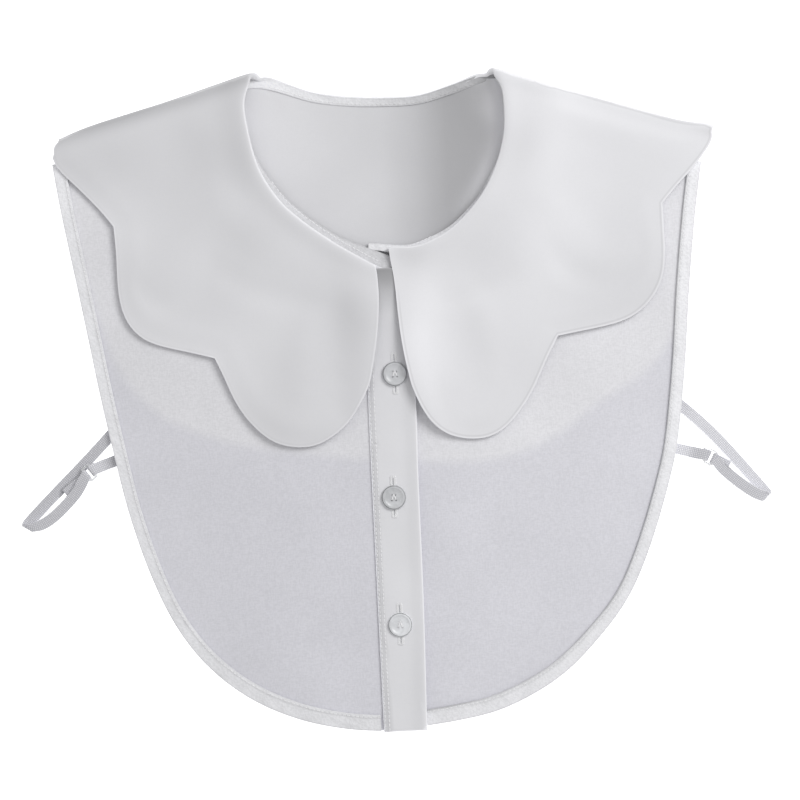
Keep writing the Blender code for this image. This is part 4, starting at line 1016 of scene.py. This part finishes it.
class COLLAR_OT_buttons(bpy.types.Operator):
    """Turns the three shirt buttons and sews them on"""
    bl_idname = "false_collar.buttons"
    bl_label = "Buttons"

    def execute(self, context):
        trim = context.scene.false_collar_trim
        # Cast polyester resin, clear with a grey cloud: glossy and translucent, with a bright rim
        resin, tree, shader = new_material(
            "cast polyester resin", Roughness=0.3, IOR=1.53, Transmission_Weight=0.1,
            Coat_Weight=0.3, Coat_Roughness=0.15)
        place = add_node(tree, "TexCoord", out="Object")
        cloud = add_node(tree, "TexNoise", {"Vector": place, "Scale": 160.0, "Detail": 3.0,
                                            "Distortion": 1.5}, out="Fac")
        shades = [add_node(tree, "MapRange", span(cloud, 0.35, 0.65, 0.93, 1.07), **SMOOTHLY),
                  add_node(tree, "Attribute", out="Fac", attribute_name="tone_and_shade")]
        finish_shader(tree, shader, trim.button_colour, shades)
        thread = sewing_thread()
        strand = capsule(3.4 * MM, 0.7 * MM)
        for number, (x, y) in enumerate(BUTTONS, start=1):
            low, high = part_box(f"button_{number}")
            low.z -= BUTTON_SINK * MM
            high.z = low.z + BUTTON_THICKNESS * MM
            obj = self.turned(f"button_{number}_resin", low, high)
            points = read_points(obj) - (x, y, 0.0)
            from_middle = np.hypot(points[:, 0], points[:, 1])
            at_left = 0.5 - 0.5 * points[:, 0] / np.maximum(from_middle, 1e-6)
            # Painted light and shade: lighter towards the right, and a darker rim on the left
            tone_and_shade = BUTTON_PAINTED_LIGHT[number - 1] + 0.1 * points[:, 0] / from_middle.max()
            tone_and_shade -= 0.1 * bell(from_middle - 6.2, 0.7) * at_left
            set_attribute(obj, "tone_and_shade", tone_and_shade)
            dress(obj, resin, "pearl_plastic", f"button_{number}")
            # The thread lies in the button's dished middle
            top = high.z / MM - 0.45
            strands = []
            for start, end in (((-0.25, 1.3), (-1.15, -1.5)), ((0.25, 1.3), (1.15, -1.5)),
                               ((-0.4, 1.35), (0.5, 1.35))):
                a, b = Vector((*start, 0.0)), Vector((*end, 0.0))
                middle = (a + b) / 2 + Vector((x, y, top))
                reach = (b - a).length / 3.4
                points = strand[0] * (reach, 1.0, 1.0)
                strands.append(set_thread((points, strand[1]), middle, (b - a).normalized(),
                                          Vector((0.0, 0.0, 1.0))))
            dress(piece_of(f"button_{number}_thread", strands), thread, "pearl_plastic")
        return {"FINISHED"}

    @staticmethod
    def turned(name, low, high):
        """A rimmed button with a dished middle and four holes."""
        middle = (low + high) / 2
        radius = (high.x - low.x) / 2
        bpy.ops.object.select_all(action="DESELECT")
        bpy.ops.mesh.primitive_cylinder_add(vertices=48, radius=radius, depth=high.z - low.z,
                                            location=middle)
        obj = bpy.context.object
        obj.name = name
        obj.data.name = name
        bpy.ops.object.mode_set(mode="EDIT")
        bpy.ops.mesh.select_all(action="DESELECT")
        shape = bmesh.from_edit_mesh(obj.data)
        for face in shape.faces:
            face.select_set(face.normal.z > 0.9)
        bmesh.update_edit_mesh(obj.data)
        bpy.ops.mesh.inset(thickness=0.35 * MM)
        bpy.ops.mesh.inset(thickness=1.1 * MM)
        bpy.ops.mesh.inset(thickness=0.7 * MM, depth=-0.5 * MM)
        bpy.ops.mesh.inset(thickness=2.0 * MM, depth=-0.1 * MM)
        bpy.ops.mesh.select_all(action="DESELECT")
        shape = bmesh.from_edit_mesh(obj.data)
        for edge in shape.edges:
            on_rim = all(abs((v.co.xy).length - radius) < 0.02 * MM for v in edge.verts)
            edge.select_set(on_rim and abs(edge.verts[0].co.z - edge.verts[1].co.z) < 0.1 * MM)
        bmesh.update_edit_mesh(obj.data)
        bpy.ops.mesh.bevel(offset=0.55 * MM, segments=3, affect="EDGES")
        bpy.ops.object.mode_set(mode="OBJECT")
        bpy.ops.object.transform_apply(location=True)
        for across, up in ((-0.85, 1.3), (0.85, 1.3), (-1.15, -1.5), (1.15, -1.5)):
            bpy.ops.object.select_all(action="DESELECT")
            bpy.ops.mesh.primitive_cylinder_add(
                vertices=16, radius=0.5 * MM, depth=8.0 * MM,
                location=middle + Vector((across, up, 0.0)) * MM)
            drill = bpy.context.object
            select_only(obj)
            hole = obj.modifiers.new("hole", "BOOLEAN")
            hole.operation = "DIFFERENCE"
            hole.object = drill
            bpy.ops.object.modifier_apply(modifier="hole")
            bpy.data.objects.remove(drill)
        bpy.ops.object.shade_smooth_by_angle(angle=math.radians(35.0))
        return obj


class COLLAR_OT_elastic(bpy.types.Operator):
    """Makes the elastic straps, their tabs and rings"""
    bl_idname = "false_collar.elastic"
    bl_label = "Elastic, tabs and rings"

    def execute(self, context):
        for side in SIDES:
            for kind, path in (("strap", STRAP_PATH[side]), ("tab", TAB_PATH[side])):
                obj = cloth_copy(f"{kind}_elastic_{side}", f"{kind}_{side}", 3)
                points = read_points(obj)
                place, aside = near_line(points, curve_through(path, 1.5))[1:]
                set_attribute(obj, "along", place)
                set_attribute(obj, "across", aside)
                # Painted light and shade: each strap's runs and each tab along its length are drawn lighter
                # or darker as the light falls on them
                upper = smooth((points[:, 2] - 1.6) / 1.6)
                if kind == "strap":
                    tone_and_shade = 0.97 + 0.03 * upper if side == "left" else 1.23 - 0.22 * upper
                elif side == "left":
                    tone_and_shade = 0.84 + 0.22 * smooth(place / 14.0)
                else:
                    tone_and_shade = 1.28 - 0.28 * smooth((place - 8.0) / 8.0)
                set_attribute(obj, "tone_and_shade", tone_and_shade)
                material = self.webbing(f"elastic webbing {kind} {side}")
                dress(obj, material, "webbing", f"{kind}_{side}")
            ring = cloth_copy(f"ring_clear_{side}", f"ring_{side}", 2)
            dress(ring, self.clear_plastic(), "clear_plastic", f"ring_{side}")
        return {"FINISHED"}

    @staticmethod
    def webbing(name):
        """Woven elastic: ribs run along it over rubber cores, and picks cross them, in a fine grid."""
        material, tree, shader = new_material(name, Roughness=0.7, Sheen_Weight=0.15,
                                              Specular_IOR_Level=0.35)
        along, across = (add_node(tree, "Attribute", out="Fac", attribute_name=number)
                         for number in ("along", "across"))
        waves = []
        # Ribs 0.95 mm apart, and picks 0.55 mm apart that are drawn 1.05 mm apart to show
        for value, pitch in ((across, 0.95), (along, 1.05)):
            turn = add_node(tree, "Math", {0: value, 1: 2 * math.pi / pitch}, operation="MULTIPLY")
            wave = add_node(tree, "Math", {0: turn}, operation="COSINE")
            waves.append(add_node(tree, "Math", {0: wave, 1: 0.5, 2: 0.5}, operation="MULTIPLY_ADD"))
        grid = add_node(tree, "Math", {0: waves[0], 1: waves[1]}, operation="MULTIPLY")
        colour = add_node(tree, "Mix", {0: grid, 6: linear("#c3c3ca"), 7: linear("#ffffff")}, out=2,
                          data_type="RGBA")
        from_middle = add_node(tree, "Math", {0: across}, operation="ABSOLUTE")
        # The selvedges are brighter
        shares = [add_node(tree, "MapRange", span(from_middle, 2.3, 2.9, 1.0, 1.16), **SMOOTHLY),
                  add_node(tree, "Attribute", out="Fac", attribute_name="tone_and_shade")]
        finish_shader(tree, shader, colour, shares, (grid, 0.9, 0.25))
        return material

    @staticmethod
    def clear_plastic():
        """Moulded acetal, almost clear: white where light gathers in it, with tiny flow lines."""
        material, tree, shader = new_material("moulded clear acetal", Roughness=0.12, IOR=1.48,
                                              Transmission_Weight=0.55, Coat_Weight=0.3)
        place = add_node(tree, "TexCoord", out="Object")
        flow = add_node(tree, "TexNoise", {"Vector": place, "Scale": 700.0, "Detail": 2.0}, out="Fac")
        colour = add_node(tree, "Mix", {0: flow, 6: linear("#e4e6e8"), 7: linear("#ffffff")}, out=2,
                          data_type="RGBA")
        finish_shader(tree, shader, colour, relief=(flow, 0.15, 0.1))
        return material


class COLLAR_OT_studio(bpy.types.Operator):
    """Lays the pale floor and sets the camera and the light"""
    bl_idname = "false_collar.studio"
    bl_label = "Floor, camera and light"

    def execute(self, context):
        studio = context.scene.false_collar_studio
        scene = context.scene
        bpy.ops.object.select_all(action="DESELECT")
        bpy.ops.mesh.primitive_plane_add(size=6.0)
        floor = context.object
        floor.name = "floor"
        # Seamless paper, lit from behind: an even white
        paper, tree, shader = new_material("seamless white paper", Roughness=0.9,
                                           Specular_IOR_Level=0.1, Emission_Strength=0.8)
        place = add_node(tree, "TexCoord", out="Object")
        fibre = add_node(tree, "TexNoise", {"Vector": place, "Scale": 300.0, "Detail": 2.0}, out="Fac")
        colour = add_node(tree, "Mix", {0: fibre, 6: linear("#fafafa"), 7: linear("#ffffff")}, out=2,
                          data_type="RGBA")
        finish_shader(tree, shader, colour)
        shader.inputs["Emission Color"].default_value = (1.0, 1.0, 1.0, 1.0)
        floor.data.materials.append(paper)

        camera = add_object("camera", bpy.data.cameras.new("camera"))
        camera.location = (4.5 * MM, 0.3 * MM, studio.camera_height)
        camera.rotation_euler = (0.0, 0.0, studio.roll)
        camera.data.sensor_width = 36.0
        camera.data.lens = 36.0 * studio.camera_height / studio.view_width
        scene.camera = camera

        key = add_object("key_light", bpy.data.lights.new("key_light", "AREA"))
        key.location = Vector((0.62, 0.50, 0.86)) * 1.6
        key.rotation_euler = (-key.location).to_track_quat("-Z", "Y").to_euler()
        key.data.size = 0.9
        key.data.energy = studio.key_power

        world = bpy.data.worlds.new("white surround")
        world.use_nodes = True
        surround = world.node_tree.nodes["Background"]
        surround.inputs["Color"].default_value = (1.0, 1.0, 1.0, 1.0)
        surround.inputs["Strength"].default_value = studio.fill
        scene.world = world
        scene.view_settings.view_transform = "Standard"
        return {"FINISHED"}


class COLLAR_PT_panel(bpy.types.Panel):
    """Lists the pieces and their settings"""
    bl_label = "False collar"
    bl_idname = "COLLAR_PT_panel"
    bl_space_type = "VIEW_3D"
    bl_region_type = "UI"
    bl_category = "False collar"

    def draw(self, context):
        for group in (context.scene.false_collar_cloth, context.scene.false_collar_trim,
                      context.scene.false_collar_studio):
            box = self.layout.box()
            for name in group.bl_rna.properties.keys():
                if name not in ("rna_type", "name"):
                    box.prop(group, name)
        for operator in OPERATORS:
            self.layout.operator(operator.bl_idname)


OPERATORS = (COLLAR_OT_collar, COLLAR_OT_bib, COLLAR_OT_facings, COLLAR_OT_placket, COLLAR_OT_strips,
             COLLAR_OT_stitches, COLLAR_OT_buttonholes, COLLAR_OT_buttons, COLLAR_OT_elastic,
             COLLAR_OT_studio)
GROUPS = {"false_collar_cloth": ClothSettings, "false_collar_trim": TrimSettings,
          "false_collar_studio": StudioSettings}


def register():
    for group in GROUPS.values():
        bpy.utils.register_class(group)
    for name, group in GROUPS.items():
        setattr(bpy.types.Scene, name, PointerProperty(type=group))
    for operator in OPERATORS:
        bpy.utils.register_class(operator)
    bpy.utils.register_class(COLLAR_PT_panel)


def unregister():
    bpy.utils.unregister_class(COLLAR_PT_panel)
    for operator in reversed(OPERATORS):
        bpy.utils.unregister_class(operator)
    for name, group in GROUPS.items():
        delattr(bpy.types.Scene, name)
        bpy.utils.unregister_class(group)


def declare_cloth():
    """Gathers the placket's stitches and the buttonholes' pieces in a list, and does nothing more with it."""
    objects = bpy.data.objects
    trimmings = [objects["placket_stitches"]]
    for number in range(1, len(BUTTONS) + 1):
        trimmings += [objects[f"buttonhole_{number}"], objects[f"buttonhole_cut_{number}"]]


def main():
    register()
    for operator in OPERATORS:
        group, name = operator.bl_idname.split(".")
        getattr(getattr(bpy.ops, group), name)()
    declare_cloth()


if __name__ == "__main__":
    main()
